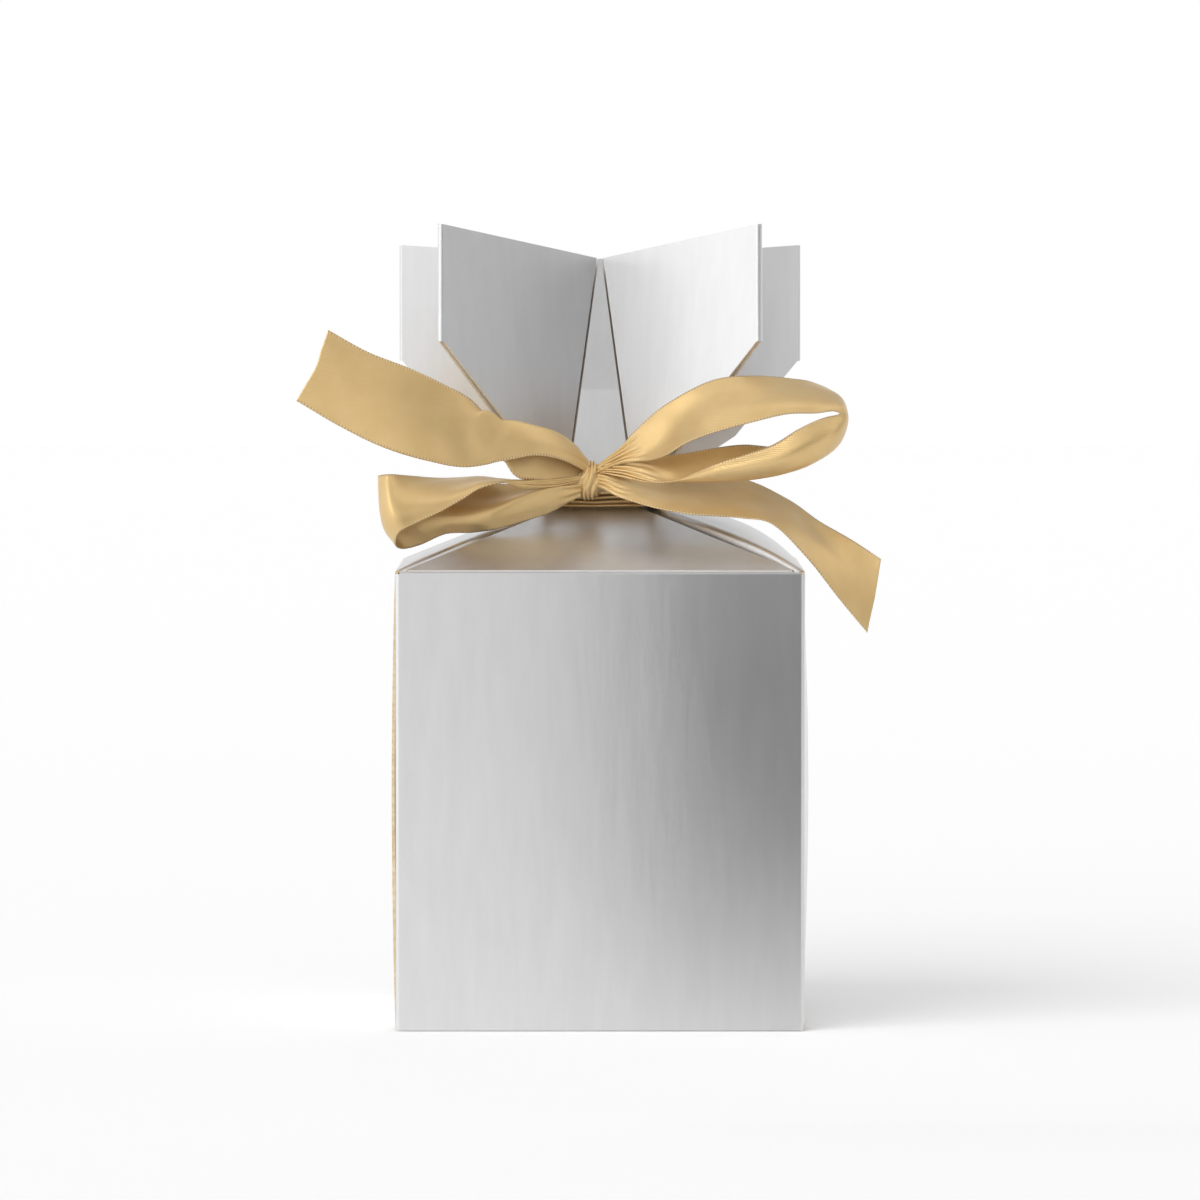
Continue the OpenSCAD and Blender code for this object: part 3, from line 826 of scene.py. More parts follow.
def petal(node, body, corners, outside):
    """One half of a petal, with its foil face on the side of outside. Its third
    side is the fold in either order of the corners."""
    if across(*corners[:3]).dot(outside) <= 0:
        corners = [corners[0]] + corners[:0:-1]
    up = across(*corners[:3])
    panel(node + "_card", node, body, raised(corners, up), [None, None, PETAL_FOLD, None, None])


# %% Petals
FRONT_KNEE, BACK_KNEE = 0.1, 2.3

for place, neck_a, neck_b, tip_a, knee in (
    ("front", front_neck, left_neck_front, front_tip, FRONT_KNEE),
    ("back", back_neck, left_neck_back, back_tip, BACK_KNEE),
):
    away = halves[place + "_a"][0] - halves[place + "_b"][0]
    for side in ("left", "right"):
        for half, neck_point, tip, outside in (
            ("a", neck_a, tip_a, away),
            ("b", neck_b, side_tip, -away),
        ):
            corners = petal_corners(neck_point, tip, *halves["%s_%s" % (place, half)], knee)
            if side == "right":
                corners, outside = [other_side(p) for p in corners], other_side(outside)
            node = "petal_%s_%s_%s" % (place, side, half)
            petal(node, "petal_" + place[0] + side[0], corners, outside)

# %% [markdown]
# ## The closure under the box
#
# The bottom is a panel that swings down from the back wall, with a rounded tuck
# flap at its front, over two dust flaps. They move, so each is a piece of its
# own on its own body.


# %% Bottom panel and dust flaps
def level_corners(z, *places):
    return [Vector((x, y, z)) for x, y in places]


bottom = level_corners(0, (-28.95, -28.7), (-28.95, 29.9), (28.95, 29.9), (28.95, -28.7))
left_dust = level_corners(
    0.65, (-29.95, -23.625), (-29.95, 26.175), (-5.775, 5.535), (-5.775, -20.025)
)
print("bottom panel %.1f mm wide" % (bottom[2].x - bottom[0].x))

# %% Round the corners of a flap
AT_CORNER = 0.05
ROUND_STEPS = 7


def round_corners(points, radius):
    """Rounds the corners of a panel that lie at the given points."""

    def shape(piece, trimmed):
        bpy.ops.mesh.select_all(action="DESELECT")
        mesh = bmesh.from_edit_mesh(piece.data)
        for v in mesh.verts:
            v.select_set(any((v.co - p * MM).length < AT_CORNER * MM for p in points))
        mesh.select_flush_mode()
        bmesh.update_edit_mesh(piece.data)
        bpy.ops.mesh.bevel(offset=radius * MM, segments=ROUND_STEPS, affect="VERTICES")

    return shape


# %% Closure
TUCK_LEAN = math.radians(84.5)
TUCK_HINGE = Vector((0, -29.025, 0.225))
TUCK_HALF, TUCK_START, TUCK_END = 26, -0.2, 12
TUCK_ROUND = 3

tuck_rise = Vector((0, math.cos(TUCK_LEAN), math.sin(TUCK_LEAN)))
tuck_out = Vector((0, -math.sin(TUCK_LEAN), math.cos(TUCK_LEAN)))
tuck_foot = TUCK_HINGE + tuck_out * HALF_T
tuck = [
    tuck_foot - X * TUCK_HALF + tuck_rise * TUCK_START,
    tuck_foot + X * TUCK_HALF + tuck_rise * TUCK_START,
    tuck_foot + X * TUCK_HALF + tuck_rise * TUCK_END,
    tuck_foot - X * TUCK_HALF + tuck_rise * TUCK_END,
]
for node, body, corners, shape in (
    ("bottom_panel", "bottom", bottom, None),
    ("tuck_flap", "tuck", tuck, round_corners(tuck[2:], TUCK_ROUND)),
    ("left_dust_flap", "dust_left", left_dust, None),
    ("right_dust_flap", "dust_right", mirrored(left_dust), None),
):
    panel(node + "_card", node, body, corners, [None] * 4, shape)

# %% [markdown]
# ## Gussets and glue flap
#
# The folded-in corners and the glue flap hardly show, so they stay the model's
# own plates. They only get the finish of the side that faces the eye.

# %% Gussets and glue flap
kept_plates = 0
for name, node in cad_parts.items():
    glued = name == "seam_flap"
    if glued or name.startswith("gusset"):
        node.data.materials.clear()
        node.data.materials.append(inside if glued else foil)
        kept_plates += 1
print(kept_plates, "plates of the model keep their shape")

# %% [markdown]
# ## Gold satin
#
# The ribbon is a soft satin with a fine slanting rib and a stitched selvedge
# along both sides. Its own flat coordinates, in metres along and across the
# ribbon, carry the rib and the stitches, so they bend with the cloth.

# %% Bands of rib and stitches
RIB_PITCH = 0.28
STITCH_PITCH = 0.46
RIB_SLANT = math.radians(22)
RIB_WANDER, STITCH_WANDER = 0.8, 0.3
WAVE_BANDS = 20


def wave_node(tree, mapping, direction, pitch, distortion):
    """Even bands, pitch millimetres apart. At a scale of one, the wave texture
    has WAVE_BANDS of them in two pi metres."""
    made = tree.nodes.new("ShaderNodeTexWave")
    made.wave_type = "BANDS"
    made.bands_direction = direction
    made.inputs["Scale"].default_value = 2 * math.pi / (WAVE_BANDS * pitch * MM)
    made.inputs["Distortion"].default_value = distortion
    made.inputs["Detail"].default_value = 1.0
    link(tree, mapping, "Vector", made, "Vector")
    return made


satin, tree, surface = new_material("gold_satin_cloth")
ribs_place = place_node(tree, (1, 1, 1), "UV")
ribs_place.inputs["Rotation"].default_value = (0, 0, RIB_SLANT)
ribs = wave_node(tree, ribs_place, "Y", RIB_PITCH, RIB_WANDER)
plain_place = place_node(tree, (1, 1, 1), "UV")
stitches = wave_node(tree, plain_place, "X", STITCH_PITCH, STITCH_WANDER)
print("ribs every", RIB_PITCH, "mm, stitches every", STITCH_PITCH, "mm")

# %% Where the selvedge is
RIBBON_W = 12
SELVEDGE_FROM, SELVEDGE_FULL = 0.45, 0.30

split = tree.nodes.new("ShaderNodeSeparateXYZ")
link(tree, plain_place, "Vector", split, "Vector")
out_from_middle = math_node(tree, "ABSOLUTE", (split, "Y"))
selvedge_ends = {
    "From Min": (RIBBON_W / 2 - SELVEDGE_FROM) * MM,
    "From Max": (RIBBON_W / 2 - SELVEDGE_FULL) * MM,
}
selvedge = range_node(tree, out_from_middle, 0, selvedge_ends)
print("selvedge from %.2f mm off the middle" % (RIBBON_W / 2 - SELVEDGE_FROM))

# %% Colour and sheen of the satin
SATIN_TONES = [(0.25, (0.69, 0.475, 0.205)), (0.75, (0.74, 0.525, 0.245))]
STITCH_TONES = [(0.2, (0.58, 0.38, 0.16)), (0.7, (0.76, 0.57, 0.31))]
SATIN_METAL, SATIN_ROUGHNESS, SATIN_SHEEN = 0.52, 0.34, 0.12
SATIN_NOISE = (260, 3.0)
MIX_A, MIX_B, MIX_RESULT = 6, 7, 2

shade = noise_node(tree, plain_place, *SATIN_NOISE)
colour = tree.nodes.new("ShaderNodeMix")
colour.data_type = "RGBA"
link(tree, selvedge, "Result", colour, "Factor")
link(tree, ramp_node(tree, shade, "Fac", SATIN_TONES), "Color", colour, MIX_A)
link(tree, ramp_node(tree, stitches, "Fac", STITCH_TONES), "Color", colour, MIX_B)
link(tree, colour, MIX_RESULT, surface, "Base Color")
surface.inputs["Metallic"].default_value = SATIN_METAL
surface.inputs["Roughness"].default_value = SATIN_ROUGHNESS
surface.inputs["Sheen Weight"].default_value = SATIN_SHEEN
print("satin roughness", SATIN_ROUGHNESS)

# %% Relief of the satin
RIB_BUMP, RIB_HEIGHT = 0.22, 0.00006
STITCH_BUMP, STITCH_HEIGHT = 0.35, 0.0001

rib_relief = bump_node(tree, ribs, "Fac", RIB_BUMP, RIB_HEIGHT)
edge_height = math_node(tree, "MULTIPLY", (stitches, "Fac"), (selvedge, "Result"))
relief = bump_node(tree, edge_height, 0, STITCH_BUMP, STITCH_HEIGHT, rib_relief)
link(tree, relief, "Normal", surface, "Normal")
print(satin.name, "has", len(tree.nodes), "nodes")

# %% [markdown]
# ## Ribbon runs
#
# Each loop and tail is one strip of the ribbon. Its shape is a net of points in
# millimetres, five across the ribbon at each station along it, with a smooth
# surface drawn through them. So a tail can fold in half as it leaves the knot,
# and a loop can hollow like a trough. Mesh code places the cloth, because a
# sheet has no solid to cut from. Small creases fan out from the knot.


# %% A smooth curve through points
def slope_at(points, gaps, i):
    """The curve's direction at one of its points, from both neighbours."""
    before = (points[i] - points[i - 1]) / gaps[i - 1] if i else None
    after = (points[i + 1] - points[i]) / gaps[i] if i < len(gaps) else None
    if before is None or after is None:
        return after or before
    return (before * gaps[i] + after * gaps[i - 1]) / (gaps[i - 1] + gaps[i])


def curve_at(points, t, gaps=None):
    """A point of the smooth curve through points, t from 0 to their last.
    gaps are the distances between them, where they aren't even."""
    gaps = gaps or [1.0] * (len(points) - 1)
    i = min(int(t), len(gaps) - 1)
    f = t - i
    ease = f * f * (3 - 2 * f)
    start, end = slope_at(points, gaps, i) * gaps[i], slope_at(points, gaps, i + 1) * gaps[i]
    straight = points[i] * (1 - ease) + points[i + 1] * ease
    return straight + start * (f * (1 - f) ** 2) - end * (f * f * (1 - f))


# %% A fine grid from a net
ROW_STEP = 0.22
ROW_LEAST = 4
ACROSS = 30
STATION = 5


def fine_grid(net):
    """Points on the surface through the net, in small steps both ways."""
    middles = [sum(row, Vector()) / len(row) for row in net]
    gaps = [(after - before).length for before, after in zip(middles, middles[1:])]
    times = []
    for i, gap in enumerate(gaps):
        steps = max(ROW_LEAST, round(gap / ROW_STEP))
        times += [i + k / steps for k in range(steps)]
    times.append(len(net) - 1)
    grid = []
    for t in times:
        row = [curve_at([points[k] for points in net], t, gaps) for k in range(STATION)]
        grid.append([curve_at(row, (STATION - 1) * j / ACROSS) for j in range(ACROSS + 1)])
    return grid


def lengths(points):
    """How far each point lies from the first, along the line through all."""
    far = [0.0]
    for before, after in zip(points, points[1:]):
        far.append(far[-1] + (after - before).length)
    return far


# %% Wrinkles of the cloth
CREASE_DEPTH, CREASE_REACH = 0.14, 7.0
CREASES, CREASE_SWAY = 5.6, (0.9, 0.35)
GATHER_DEPTH, GATHER_BELOW, GATHER_OVER = 0.30, 6.0, 4
PLEATS, PLEAT_START, PLEAT_SWAY = 5, 1, (0.8, 0.5)
SOFTNESS, SOFT_ALONG, SOFT_ACROSS = 0.14, 0.10, 1.3


def clamped(value):
    return min(1.0, max(0.0, value))


def wrinkle(c, run, from_knot, width, seed):
    """How far the cloth stands off its net, c from -1 to 1 across it. Creases
    fade away from the knot, and pleats grow where the ribbon is narrow."""
    soft = noise.noise(Vector((run * SOFT_ALONG, c * SOFT_ACROSS, seed)))
    crease = math.sin(CREASES * c + CREASE_SWAY[0] * math.sin(CREASE_SWAY[1] * run))
    sway = PLEAT_SWAY[0] * math.sin(PLEAT_SWAY[1] * run)
    pleat = math.sin(PLEATS * math.pi * c + PLEAT_START + sway)
    depth = CREASE_DEPTH * math.exp(-from_knot / CREASE_REACH)
    gather = GATHER_DEPTH * clamped((GATHER_BELOW - width) / GATHER_OVER)
    return depth * crease + gather * pleat + SOFTNESS * soft


# %% Mesh of a cloth
RIBBON_T = 0.14


def cloth_mesh(name, grid, flats, around):
    """A sheet through a grid of points in mm, with its flat places as UVs."""
    rows, count = len(grid), len(grid[0])
    mesh = bpy.data.meshes.new(name)
    faces, uvs = [], []
    for i in range(rows if around else rows - 1):
        k = (i + 1) % rows
        for j in range(count - 1):
            faces.append([i * count + j, k * count + j, k * count + j + 1, i * count + j + 1])
            uvs += [flats[i][j], flats[i + 1][j], flats[i + 1][j + 1], flats[i][j + 1]]
    mesh.from_pydata([p * MM for row in grid for p in row], [], faces)
    layer = mesh.uv_layers.new(name="flat")
    for loop, (u, v) in zip(layer.data, uvs):
        loop.uv = (u * MM, v * MM)
    return mesh


def give_thickness(piece):
    """Makes the sheet a closed, smooth one, with its faces outwards."""
    bpy.ops.object.select_all(action="DESELECT")
    piece.select_set(True)
    bpy.context.view_layer.objects.active = piece
    wall = piece.modifiers.new("thickness", "SOLIDIFY")
    wall.thickness = RIBBON_T * MM
    wall.offset = 0
    bpy.ops.object.modifier_apply(modifier=wall.name)
    bpy.ops.object.mode_set(mode="EDIT")
    bpy.ops.mesh.select_all(action="SELECT")
    bpy.ops.mesh.normals_make_consistent(inside=False)
    bpy.ops.object.mode_set(mode="OBJECT")
    bpy.ops.object.shade_smooth()


# %% One piece of cloth
def cloth(node, grid, flats, long_mm, held, rests_on, around=False):
    """A piece of the ribbon that stands in for a node, long_mm when flat."""
    name = node + "_cloth"
    mesh = cloth_mesh(name, grid, flats, around)
    piece = bpy.data.objects.new(name, mesh)
    scene.collection.objects.link(piece)
    give_thickness(piece)
    mesh.materials.append(satin)
    flat = (RIBBON_W * MM, long_mm * MM)
    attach(piece, "carton")
    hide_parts(node)
    share = sum(f.area for f in mesh.polygons) / 2 / flat[0] / flat[1]
    print(name, "%.1f mm long, %.2f of its flat area" % (long_mm, share))


# %% One run of ribbon
def ribbon_run(node, net, held, both_ends):
    """One strip of ribbon through a net of points, knot end first."""
    grid = fine_grid([[Vector(p) for p in row] for row in net])
    runs = lengths([row[ACROSS // 2] for row in grid])
    whole = runs[-1]
    shaped, flats = [], []
    for i, (row, run) in enumerate(zip(grid, runs)):
        from_knot = min(run, whole - run) if both_ends else run
        spans = lengths(row)
        width = spans[-1]
        points, marks = [], []
        for j, point in enumerate(row):
            along = grid[min(i + 1, len(grid) - 1)][j] - grid[max(i - 1, 0)][j]
            over = row[min(j + 1, ACROSS)] - row[max(j - 1, 0)]
            normal = along.cross(over).normalized()
            off = wrinkle(2 * j / ACROSS - 1, run, from_knot, width, len(net))
            points.append(point + normal * off)
            marks.append((run, (spans[j] / width - 0.5) * RIBBON_W))
        shaped.append(points)
        flats.append(marks)
    cloth(node, shaped, flats, whole, held, ["ribbon_knot_cloth"])


# %% Net of the left tail
LEFT_TAIL = [
    [(-1.5, -12.6, 81.3), (-1.5, -12.8, 82.1), (-1.5, -12.6, 82.8),
     (-1.5, -11.6, 82.1), (-1.5, -11.4, 81.0)],
    [(-3.4, -14.3, 82.4), (-3.4, -14.2, 83.9), (-3.4, -13.0, 85.3),
     (-3.4, -12.2, 83.1), (-3.4, -12.6, 80.7)],
    [(-5.9, -16.0, 83.5), (-5.9, -15.8, 85.2), (-6.1, -14.2, 87.3),
     (-6.1, -13.4, 84.0), (-5.9, -14.0, 80.3)],
    [(-9.6, -17.6, 84.1), (-9.6, -17.3, 86.3), (-9.9, -15.8, 88.6),
     (-9.7, -15.2, 85.2), (-9.5, -16.0, 80.4)],
    [(-13.3, -18.6, 83.5), (-13.4, -18.2, 86.2), (-13.7, -17.0, 89.3),
     (-13.6, -16.4, 86.7), (-13.1, -17.2, 81.7)],
    [(-15.2, -19.1, 83.2), (-15.2, -18.9, 85.6), (-15.3, -18.3, 89.0),
     (-15.2, -17.5, 89.8), (-14.8, -16.8, 85.0)],
    [(-16.8, -19.6, 82.8), (-16.8, -19.6, 85.2), (-16.9, -19.3, 88.0),
     (-16.8, -18.6, 90.7), (-16.4, -17.4, 89.3)],
    [(-19.1, -20.2, 82.5), (-19.0, -20.5, 84.8), (-18.7, -20.4, 87.4),
     (-18.4, -19.8, 89.9), (-18.0, -18.6, 91.4)],
    [(-25.7, -21.5, 83.5), (-25.3, -21.9, 86.3), (-24.7, -22.0, 89.2),
     (-24.1, -21.4, 92.1), (-23.5, -20.6, 94.9)],
    [(-31.3, -22.2, 85.2), (-30.5, -22.7, 88.2), (-29.7, -22.8, 91.1),
     (-28.8, -22.4, 94.0), (-27.9, -21.6, 97.0)],
    [(-38.2, -22.9, 88.5), (-37.3, -23.2, 91.3), (-36.2, -23.3, 94.1),
     (-35.2, -22.9, 96.8), (-34.2, -22.3, 99.5)],
    [(-44.6, -23.6, 92.3), (-43.2, -23.7, 94.7), (-41.7, -23.6, 97.3),
     (-40.9, -23.4, 99.9), (-39.9, -23.0, 102.7)],
]
print("left tail: %d stations" % len(LEFT_TAIL))

# %% Net of the right tail
RIGHT_TAIL = [
    [(-1.2, -12.6, 79.6), (-1.2, -12.8, 80.1), (-1.2, -12.8, 80.6),
     (-1.2, -12.8, 81.1), (-1.2, -12.6, 81.6)],
    [(0.1, -14.2, 79.2), (0.3, -14.1, 79.9), (0.4, -13.8, 80.5),
     (0.6, -13.3, 81.1), (0.6, -12.8, 81.6)],
    [(2.7, -16.2, 78.0), (3.0, -15.6, 78.8), (3.1, -14.7, 79.6),
     (3.3, -13.7, 80.3), (3.4, -12.7, 81.0)],
    [(6.6, -18.6, 76.8), (7.1, -17.3, 77.8), (7.4, -15.7, 78.6),
     (7.7, -14.0, 79.4), (8.1, -12.4, 80.3)],
    [(12.8, -20.6, 75.6), (13.0, -19.0, 76.8), (13.1, -17.0, 78.0),
     (13.3, -14.7, 79.2), (13.3, -12.4, 80.3)],
    [(20.9, -21.4, 75.0), (21.2, -19.7, 76.4), (21.5, -17.4, 77.6),
     (21.9, -14.9, 79.0), (22.1, -12.6, 80.2)],
    [(25.0, -22.4, 74.3), (25.6, -20.7, 75.1), (26.4, -18.4, 75.9),
     (27.0, -15.8, 76.8), (27.7, -13.4, 77.6)],
    [(30.3, -23.6, 69.4), (30.8, -22.0, 70.7), (31.4, -20.0, 71.9),
     (31.9, -17.6, 73.0), (32.5, -15.4, 74.3)],
    [(35.0, -23.4, 63.4), (35.5, -22.5, 65.4), (36.1, -21.3, 67.5),
     (36.6, -19.8, 69.6), (37.2, -18.2, 71.6)],
    [(39.3, -23.2, 58.2), (39.8, -22.8, 60.6), (40.4, -22.2, 63.2),
     (40.9, -21.3, 66.0), (41.4, -20.3, 68.9)],
]
print("right tail: %d stations" % len(RIGHT_TAIL))

# %% Net of the right loop
RIGHT_LOOP = [
    [(-0.6, -12.8, 81.3), (-0.6, -12.8, 81.6), (-0.6, -12.7, 81.9),
     (-0.4, -12.5, 82.2), (-0.4, -12.2, 82.5)],
    [(3.5, -15.2, 83.0), (3.3, -14.8, 83.5), (3.0, -14.4, 84.0),
     (2.7, -14.0, 84.5), (2.5, -13.5, 84.9)],
    [(7.7, -18.2, 83.5), (7.4, -16.8, 84.5), (6.8, -15.9, 85.7),
     (6.1, -15.4, 86.9), (5.5, -14.9, 88.0)],
    [(9.9, -20.4, 84.3), (10.0, -18.6, 85.6), (9.7, -17.2, 87.2),
     (9.1, -16.4, 88.9), (8.3, -15.9, 90.6)],
    [(12.5, -22.2, 85.9), (12.5, -20.6, 87.4), (12.2, -18.9, 89.1),
     (11.7, -17.6, 90.8), (11.1, -16.8, 92.5)],
    [(16.9, -24.6, 87.7), (17.2, -23.4, 89.5), (17.2, -21.6, 91.4),
     (17.0, -19.4, 93.4), (16.7, -17.6, 95.2)],
    [(22.3, -25.6, 89.2), (22.4, -24.6, 90.8), (22.5, -22.8, 92.4),
     (22.4, -20.3, 94.2), (22.1, -17.6, 95.8)],
    [(27.7, -25.6, 90.4), (28.0, -24.7, 91.7), (28.0, -22.9, 93.0),
     (27.9, -20.2, 94.3), (27.9, -17.2, 95.5)],
    [(31.7, -25.2, 90.5), (32.3, -24.2, 91.7), (32.5, -22.2, 92.9),
     (32.4, -19.4, 94.0), (31.7, -16.6, 94.8)],
    [(34.3, -24.8, 90.8), (35.4, -23.4, 91.6), (35.9, -21.2, 92.0),
     (35.6, -18.6, 92.5), (34.8, -16.2, 92.9)],
    [(35.2, -24.4, 90.4), (36.3, -23.4, 89.8), (36.5, -21.0, 89.3),
     (36.2, -18.4, 89.3), (35.7, -16.0, 89.4)],
    [(33.1, -25.0, 89.9), (34.7, -25.4, 87.8), (35.5, -22.8, 86.5),
     (35.3, -19.4, 86.5), (34.5, -16.4, 87.3)],
    [(29.2, -25.8, 88.2), (30.2, -26.6, 85.6), (31.2, -24.4, 83.1),
     (30.7, -20.6, 84.3), (29.9, -17.4, 86.5)],
    [(25.6, -25.4, 86.0), (26.1, -26.2, 83.6), (26.7, -23.8, 81.5),
     (26.6, -20.4, 83.1), (26.1, -17.8, 85.4)],
    [(22.1, -24.6, 84.7), (22.0, -25.2, 82.6), (22.0, -22.8, 80.7),
     (21.9, -19.8, 83.0), (21.5, -17.4, 85.7)],
    [(17.2, -23.2, 83.1), (17.0, -23.4, 81.7), (17.1, -21.4, 80.4),
     (16.9, -18.8, 82.7), (17.0, -16.8, 85.2)],
    [(14.3, -21.6, 81.8), (13.8, -21.4, 81.0), (13.5, -19.8, 80.3),
     (13.3, -17.8, 82.2), (13.1, -16.2, 84.5)],
    [(11.0, -19.6, 80.4), (10.3, -18.8, 80.2), (9.9, -17.8, 80.6),
     (9.6, -16.8, 82.2), (9.5, -15.6, 84.1)],
    [(7.1, -17.2, 80.2), (6.6, -16.9, 80.7), (6.3, -16.4, 81.6),
     (6.1, -15.6, 82.7), (5.9, -14.8, 83.9)],
    [(3.3, -14.9, 80.9), (3.1, -14.8, 81.5), (3.0, -14.6, 82.0),
     (2.8, -14.2, 82.7), (2.7, -13.8, 83.4)],
    [(-0.3, -12.9, 81.6), (-0.3, -12.9, 81.8), (-0.3, -12.8, 82.0),
     (-0.3, -12.7, 82.2), (-0.3, -12.6, 82.4)],
]
print("right loop: %d stations" % len(RIGHT_LOOP))

# %% Net of the left loop
LEFT_LOOP = [
    [(-2.4, -12.8, 80.3), (-2.4, -12.9, 80.5), (-2.4, -12.9, 80.6),
     (-2.4, -12.8, 80.7), (-2.4, -12.6, 80.9)],
    [(-7.2, -15.0, 79.5), (-7.3, -15.3, 79.7), (-7.4, -15.3, 79.9),
     (-7.4, -15.0, 80.1), (-7.4, -14.4, 80.3)],
    [(-11.7, -17.2, 79.5), (-11.8, -17.7, 79.8), (-11.8, -17.6, 80.0),
     (-12.0, -16.9, 80.2), (-12.0, -15.8, 80.3)],
    [(-14.6, -19.2, 80.2), (-14.9, -19.2, 80.2), (-15.2, -18.6, 80.4),
     (-15.5, -16.6, 80.6), (-15.7, -12.8, 80.7)],
    [(-17.4, -20.8, 79.5), (-17.5, -20.3, 79.9), (-17.5, -19.1, 80.3),
     (-17.6, -16.4, 80.8), (-17.6, -12.6, 80.9)],
    [(-20.1, -22.2, 77.9), (-20.3, -21.6, 78.7), (-20.5, -20.2, 79.5),
     (-20.7, -17.4, 80.4), (-20.7, -13.8, 80.8)],
    [(-23.4, -23.2, 76.0), (-23.7, -22.8, 77.2), (-23.8, -21.7, 78.5),
     (-24.0, -19.4, 80.0), (-24.1, -16.4, 80.8)],
    [(-27.0, -23.8, 74.3), (-27.5, -23.7, 76.0), (-27.8, -22.9, 77.8),
     (-27.9, -21.2, 79.6), (-28.0, -18.8, 81.1)],
    [(-29.7, -23.8, 72.7), (-30.5, -24.0, 74.7), (-31.0, -23.6, 76.9),
     (-31.1, -22.6, 79.2), (-31.0, -21.2, 81.4)],
    [(-30.1, -21.9, 71.1), (-31.6, -22.2, 73.6), (-32.3, -21.9, 76.1),
     (-32.5, -21.0, 78.7), (-32.5, -19.7, 81.2)],
    [(-29.3, -19.2, 70.4), (-31.2, -19.7, 72.7), (-32.0, -19.4, 75.6),
     (-32.2, -18.4, 78.4), (-32.2, -17.2, 80.9)],
    [(-26.6, -17.2, 70.9), (-27.7, -17.7, 73.1), (-28.5, -17.2, 75.5),
     (-28.8, -15.4, 78.2), (-29.0, -13.4, 80.4)],
    [(-22.9, -16.6, 72.5), (-23.6, -17.6, 74.2), (-24.1, -17.2, 76.1),
     (-24.4, -14.8, 78.3), (-24.6, -12.4, 80.2)],
    [(-18.5, -17.0, 72.8), (-18.7, -18.4, 74.4), (-18.9, -18.0, 76.0),
     (-19.1, -15.0, 77.8), (-19.0, -12.2, 80.1)],
    [(-14.8, -16.8, 73.4), (-15.0, -18.2, 75.0), (-15.2, -18.0, 76.6),
     (-15.2, -14.8, 78.0), (-15.1, -12.2, 79.9)],
    [(-11.7, -15.8, 74.3), (-11.8, -17.2, 75.9), (-12.0, -17.2, 77.8),
     (-12.0, -14.8, 78.4), (-11.8, -12.4, 79.7)],
    [(-7.7, -14.4, 75.6), (-7.8, -15.6, 77.2), (-8.0, -15.6, 79.1),
     (-8.0, -14.2, 79.2), (-7.8, -13.2, 79.6)],
    [(-3.0, -12.7, 77.9), (-2.8, -13.2, 78.7), (-2.7, -13.3, 79.6),
     (-2.7, -12.9, 80.0), (-2.5, -12.4, 80.3)],
]
print("left loop: %d stations" % len(LEFT_LOOP))

# %% Loops and tails
for node, net, held, both_ends in (
    ("ribbon_left_tail", LEFT_TAIL, "hung", False),
    ("ribbon_right_tail", RIGHT_TAIL, "hung", False),
    ("ribbon_left_loop", LEFT_LOOP, "folded", True),
    ("ribbon_right_loop", RIGHT_LOOP, "folded", True),
):
    ribbon_run(node, net, held, both_ends)

# %% [markdown]
# ## Band and knot
#
# Round the neck the ribbon is gathered into a narrow roll of pleats. The knot is
# the same ribbon passed once over the crossing, so its creases run up and down
# with a slant. Both are closed rings, so one helper turns a row of points round
# a full turn.


# %% Rings of cloth
def ring(steps, row_at):
    """The rows of a ring, and the flat places of their points. The last row of
    flat places belongs to the first row again, a whole turn on."""
    rows = [row_at(2 * math.pi * i / steps) for i in range(steps + 1)]
    grid = [[point for point, mark in row] for row in rows[:-1]]
    return grid, [[mark for point, mark in row] for row in rows]


# %% Outline of the band
BAND_IN = 8.45
BAND_CORNER = 1.9
BAND_BLUR = 0.12


def octagon(turn):
    """How far out an octagon's side is, in the direction turn."""
    x, y = abs(math.cos(turn)), abs(math.sin(turn))
    return min(BAND_IN / max(x, y), (2 * BAND_IN - BAND_CORNER) / (x + y))


def band_reach(turn):
    """The same with its corners rounded, by a mean over three directions."""
    return sum(octagon(turn + d) for d in (-BAND_BLUR, 0, BAND_BLUR)) / 3


print("band %.2f mm from the middle at the front" % band_reach(-QUARTER))

# %% Band
BAND_LOW, BAND_RISE = 76.2, 2.55
BACK_LOSS, BACK_EASE = 0.25, 1.6
BAND_T, BAND_PLEATS = 1.25, 4
BAND_SWAY = ((0.9, 3, 0), (0.5, 7, 1))
BAND_ROUND_OFF = (0.12, 0.76)
BAND_TUCK, TUCK_SHARE = 1.5, 0.14
BAND_STEPS, BAND_ACROSS = 144, ACROSS * 2
BAND_FLAT_R, BAND_GIRTH_R = 9, 9.1


def band_row(turn):
    """The band's points in one direction, from its tucked-in lower edge up."""
    reach = band_reach(turn)
    out = Vector((math.cos(turn), math.sin(turn), 0))
    rise = BAND_RISE * (1 - BACK_LOSS * clamped(BACK_EASE * math.sin(turn)))
    slant = sum(far * math.sin(often * turn + start) for far, often, start in BAND_SWAY)
    row = []
    for j in range(BAND_ACROSS + 1):
        c = j / BAND_ACROSS
        fold = 0.5 - 0.5 * math.cos(2 * math.pi * BAND_PLEATS * c + slant)
        round_off = math.sin(math.pi * (BAND_ROUND_OFF[0] + BAND_ROUND_OFF[1] * c))
        tuck_in = max(0.0, 1 - c / TUCK_SHARE) ** 2 * BAND_TUCK
        point = out * (reach + fold * BAND_T * round_off - tuck_in) + Z * (BAND_LOW + rise * c)
        row.append((point, (turn * BAND_FLAT_R, (c - 0.5) * RIBBON_W)))
    return row


ROOFS = ["front_roof", "back_roof", "left_roof", "right_roof"]
girth = 2 * math.pi * BAND_GIRTH_R
cloth("ribbon_band", *ring(BAND_STEPS, band_row), girth, "gathered", ROOFS, around=True)

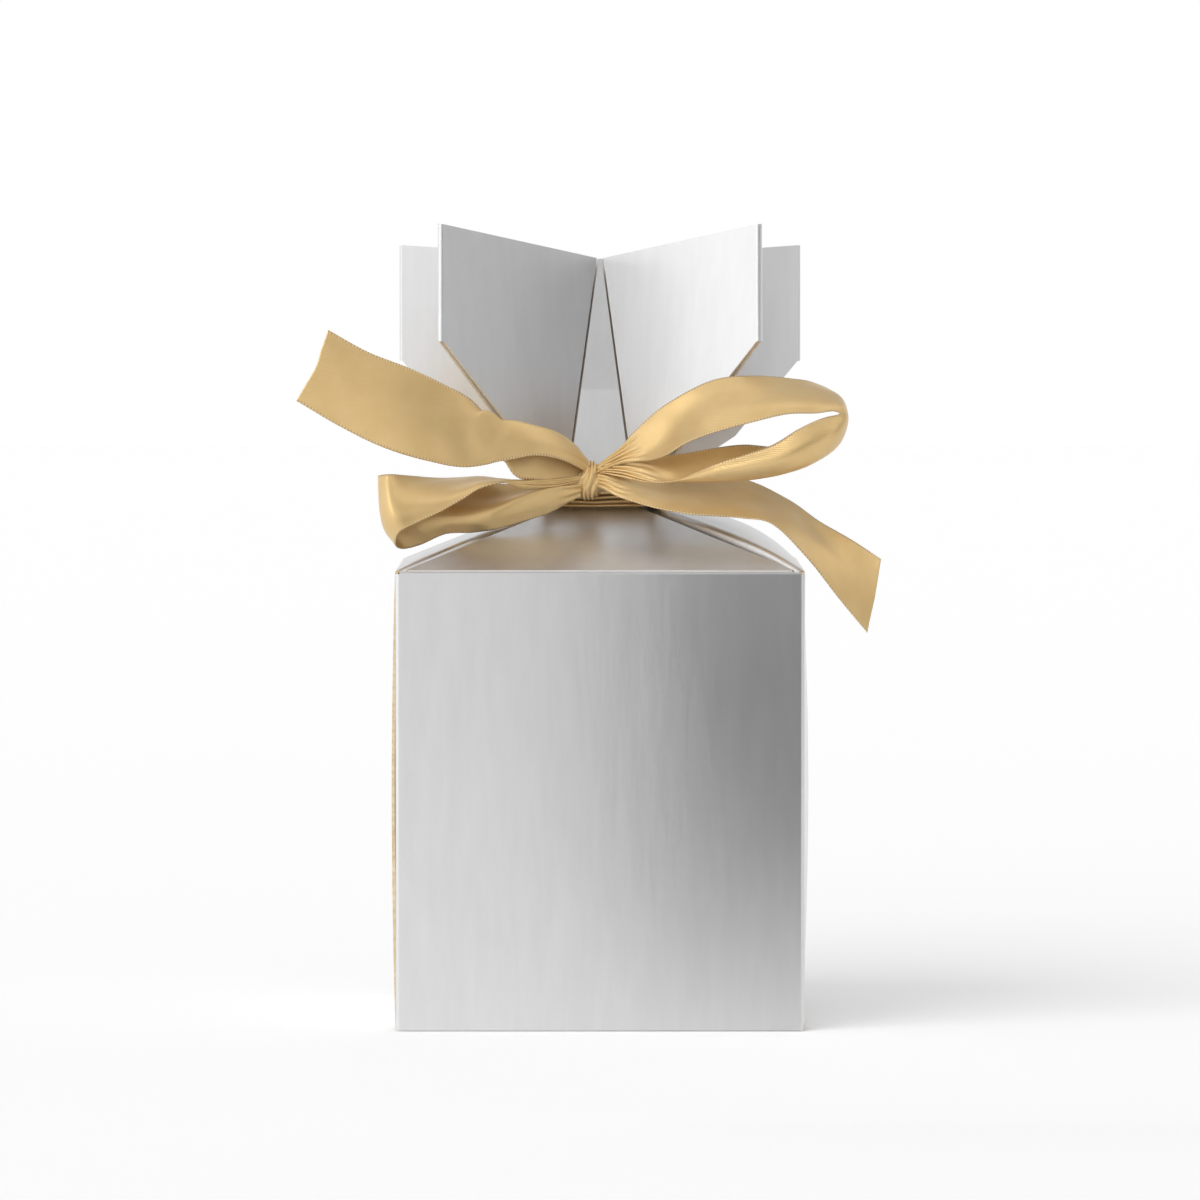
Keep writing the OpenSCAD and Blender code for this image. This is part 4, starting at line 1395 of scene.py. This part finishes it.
# %% Folds of the knot
KNOT_AT = Vector((-1.61, -11.72, 80.263))
KNOT_SIZE, FOLD_ROOM = (4.7, 4.6, 5.9), (0.1, 0.35, 0.3)
KNOT_STEPS, KNOT_ACROSS = 96, ACROSS * 3
KNOT_LENGTH = 15.0
half_w, half_d, half_h = (size / 2 - room for size, room in zip(KNOT_SIZE, FOLD_ROOM))
BROAD_FOLDS = ((0.20, 3.6, 1.5, 0.6), (0.13, 9.5, -2.4, 1.0))
PACKED_DEEP, PACKED_RATE, PACKED_SWAY, PACKED_START = 0.95, 19, 0.9, 0.4


def knot_fold(c, turn, high, hidden):
    """How far the knot's folds stand out: a few broad ones in front, and the
    gathered width of the ribbon packed at the hidden back."""
    broad = 0
    for deep, rate, slant, start in BROAD_FOLDS:
        broad += deep * math.sin(rate * c + slant * high + start)
    sway = PACKED_SWAY * math.sin(turn + PACKED_START)
    packed = PACKED_DEEP * math.sin(PACKED_RATE * c + sway)
    return broad * (1 - hidden) + packed * hidden


# %% Knot
NARROW_ABOVE, NARROW_BELOW = (0.42, 1.5), (0.22, 2)
KNOT_LEAN, KNOT_ROUND, FOLD_UP = 0.55, 0.66, 0.6
ROUGH, ROUGH_C, ROUGH_HIGH, ROUGH_START = 0.10, 2.2, 2.6, 3.0


def knot_row(turn):
    """The knot's points across the ribbon, at one turn round the crossing."""
    front, high = math.cos(turn), math.sin(turn)
    hidden = 0.5 - 0.5 * front
    above = NARROW_ABOVE[0] * max(0.0, high) ** NARROW_ABOVE[1]
    below = NARROW_BELOW[0] * max(0.0, -high) ** NARROW_BELOW[1]
    narrow = 1 - above - below
    lean = KNOT_LEAN * high * (0.5 + 0.5 * front)
    row = []
    for j in range(KNOT_ACROSS + 1):
        c = 2 * j / KNOT_ACROSS - 1
        bulge = math.sqrt(max(0.0, 1 - KNOT_ROUND * c * c))
        fold = knot_fold(c, turn, high, hidden)
        spot = Vector((ROUGH_C * c, ROUGH_HIGH * high, ROUGH_START + front))
        rough = ROUGH * noise.noise(spot)
        depth = half_d * bulge + fold + rough
        rise = half_h * bulge + fold * FOLD_UP
        point = KNOT_AT + Vector((half_w * narrow * c + lean, -depth * front, rise * high))
        row.append((point, (turn * KNOT_LENGTH / 2 / math.pi, c * RIBBON_W / 2)))
    return row


knot = ring(KNOT_STEPS, knot_row)
cloth("ribbon_knot", *knot, KNOT_LENGTH, "gathered", ["ribbon_band_cloth"], around=True)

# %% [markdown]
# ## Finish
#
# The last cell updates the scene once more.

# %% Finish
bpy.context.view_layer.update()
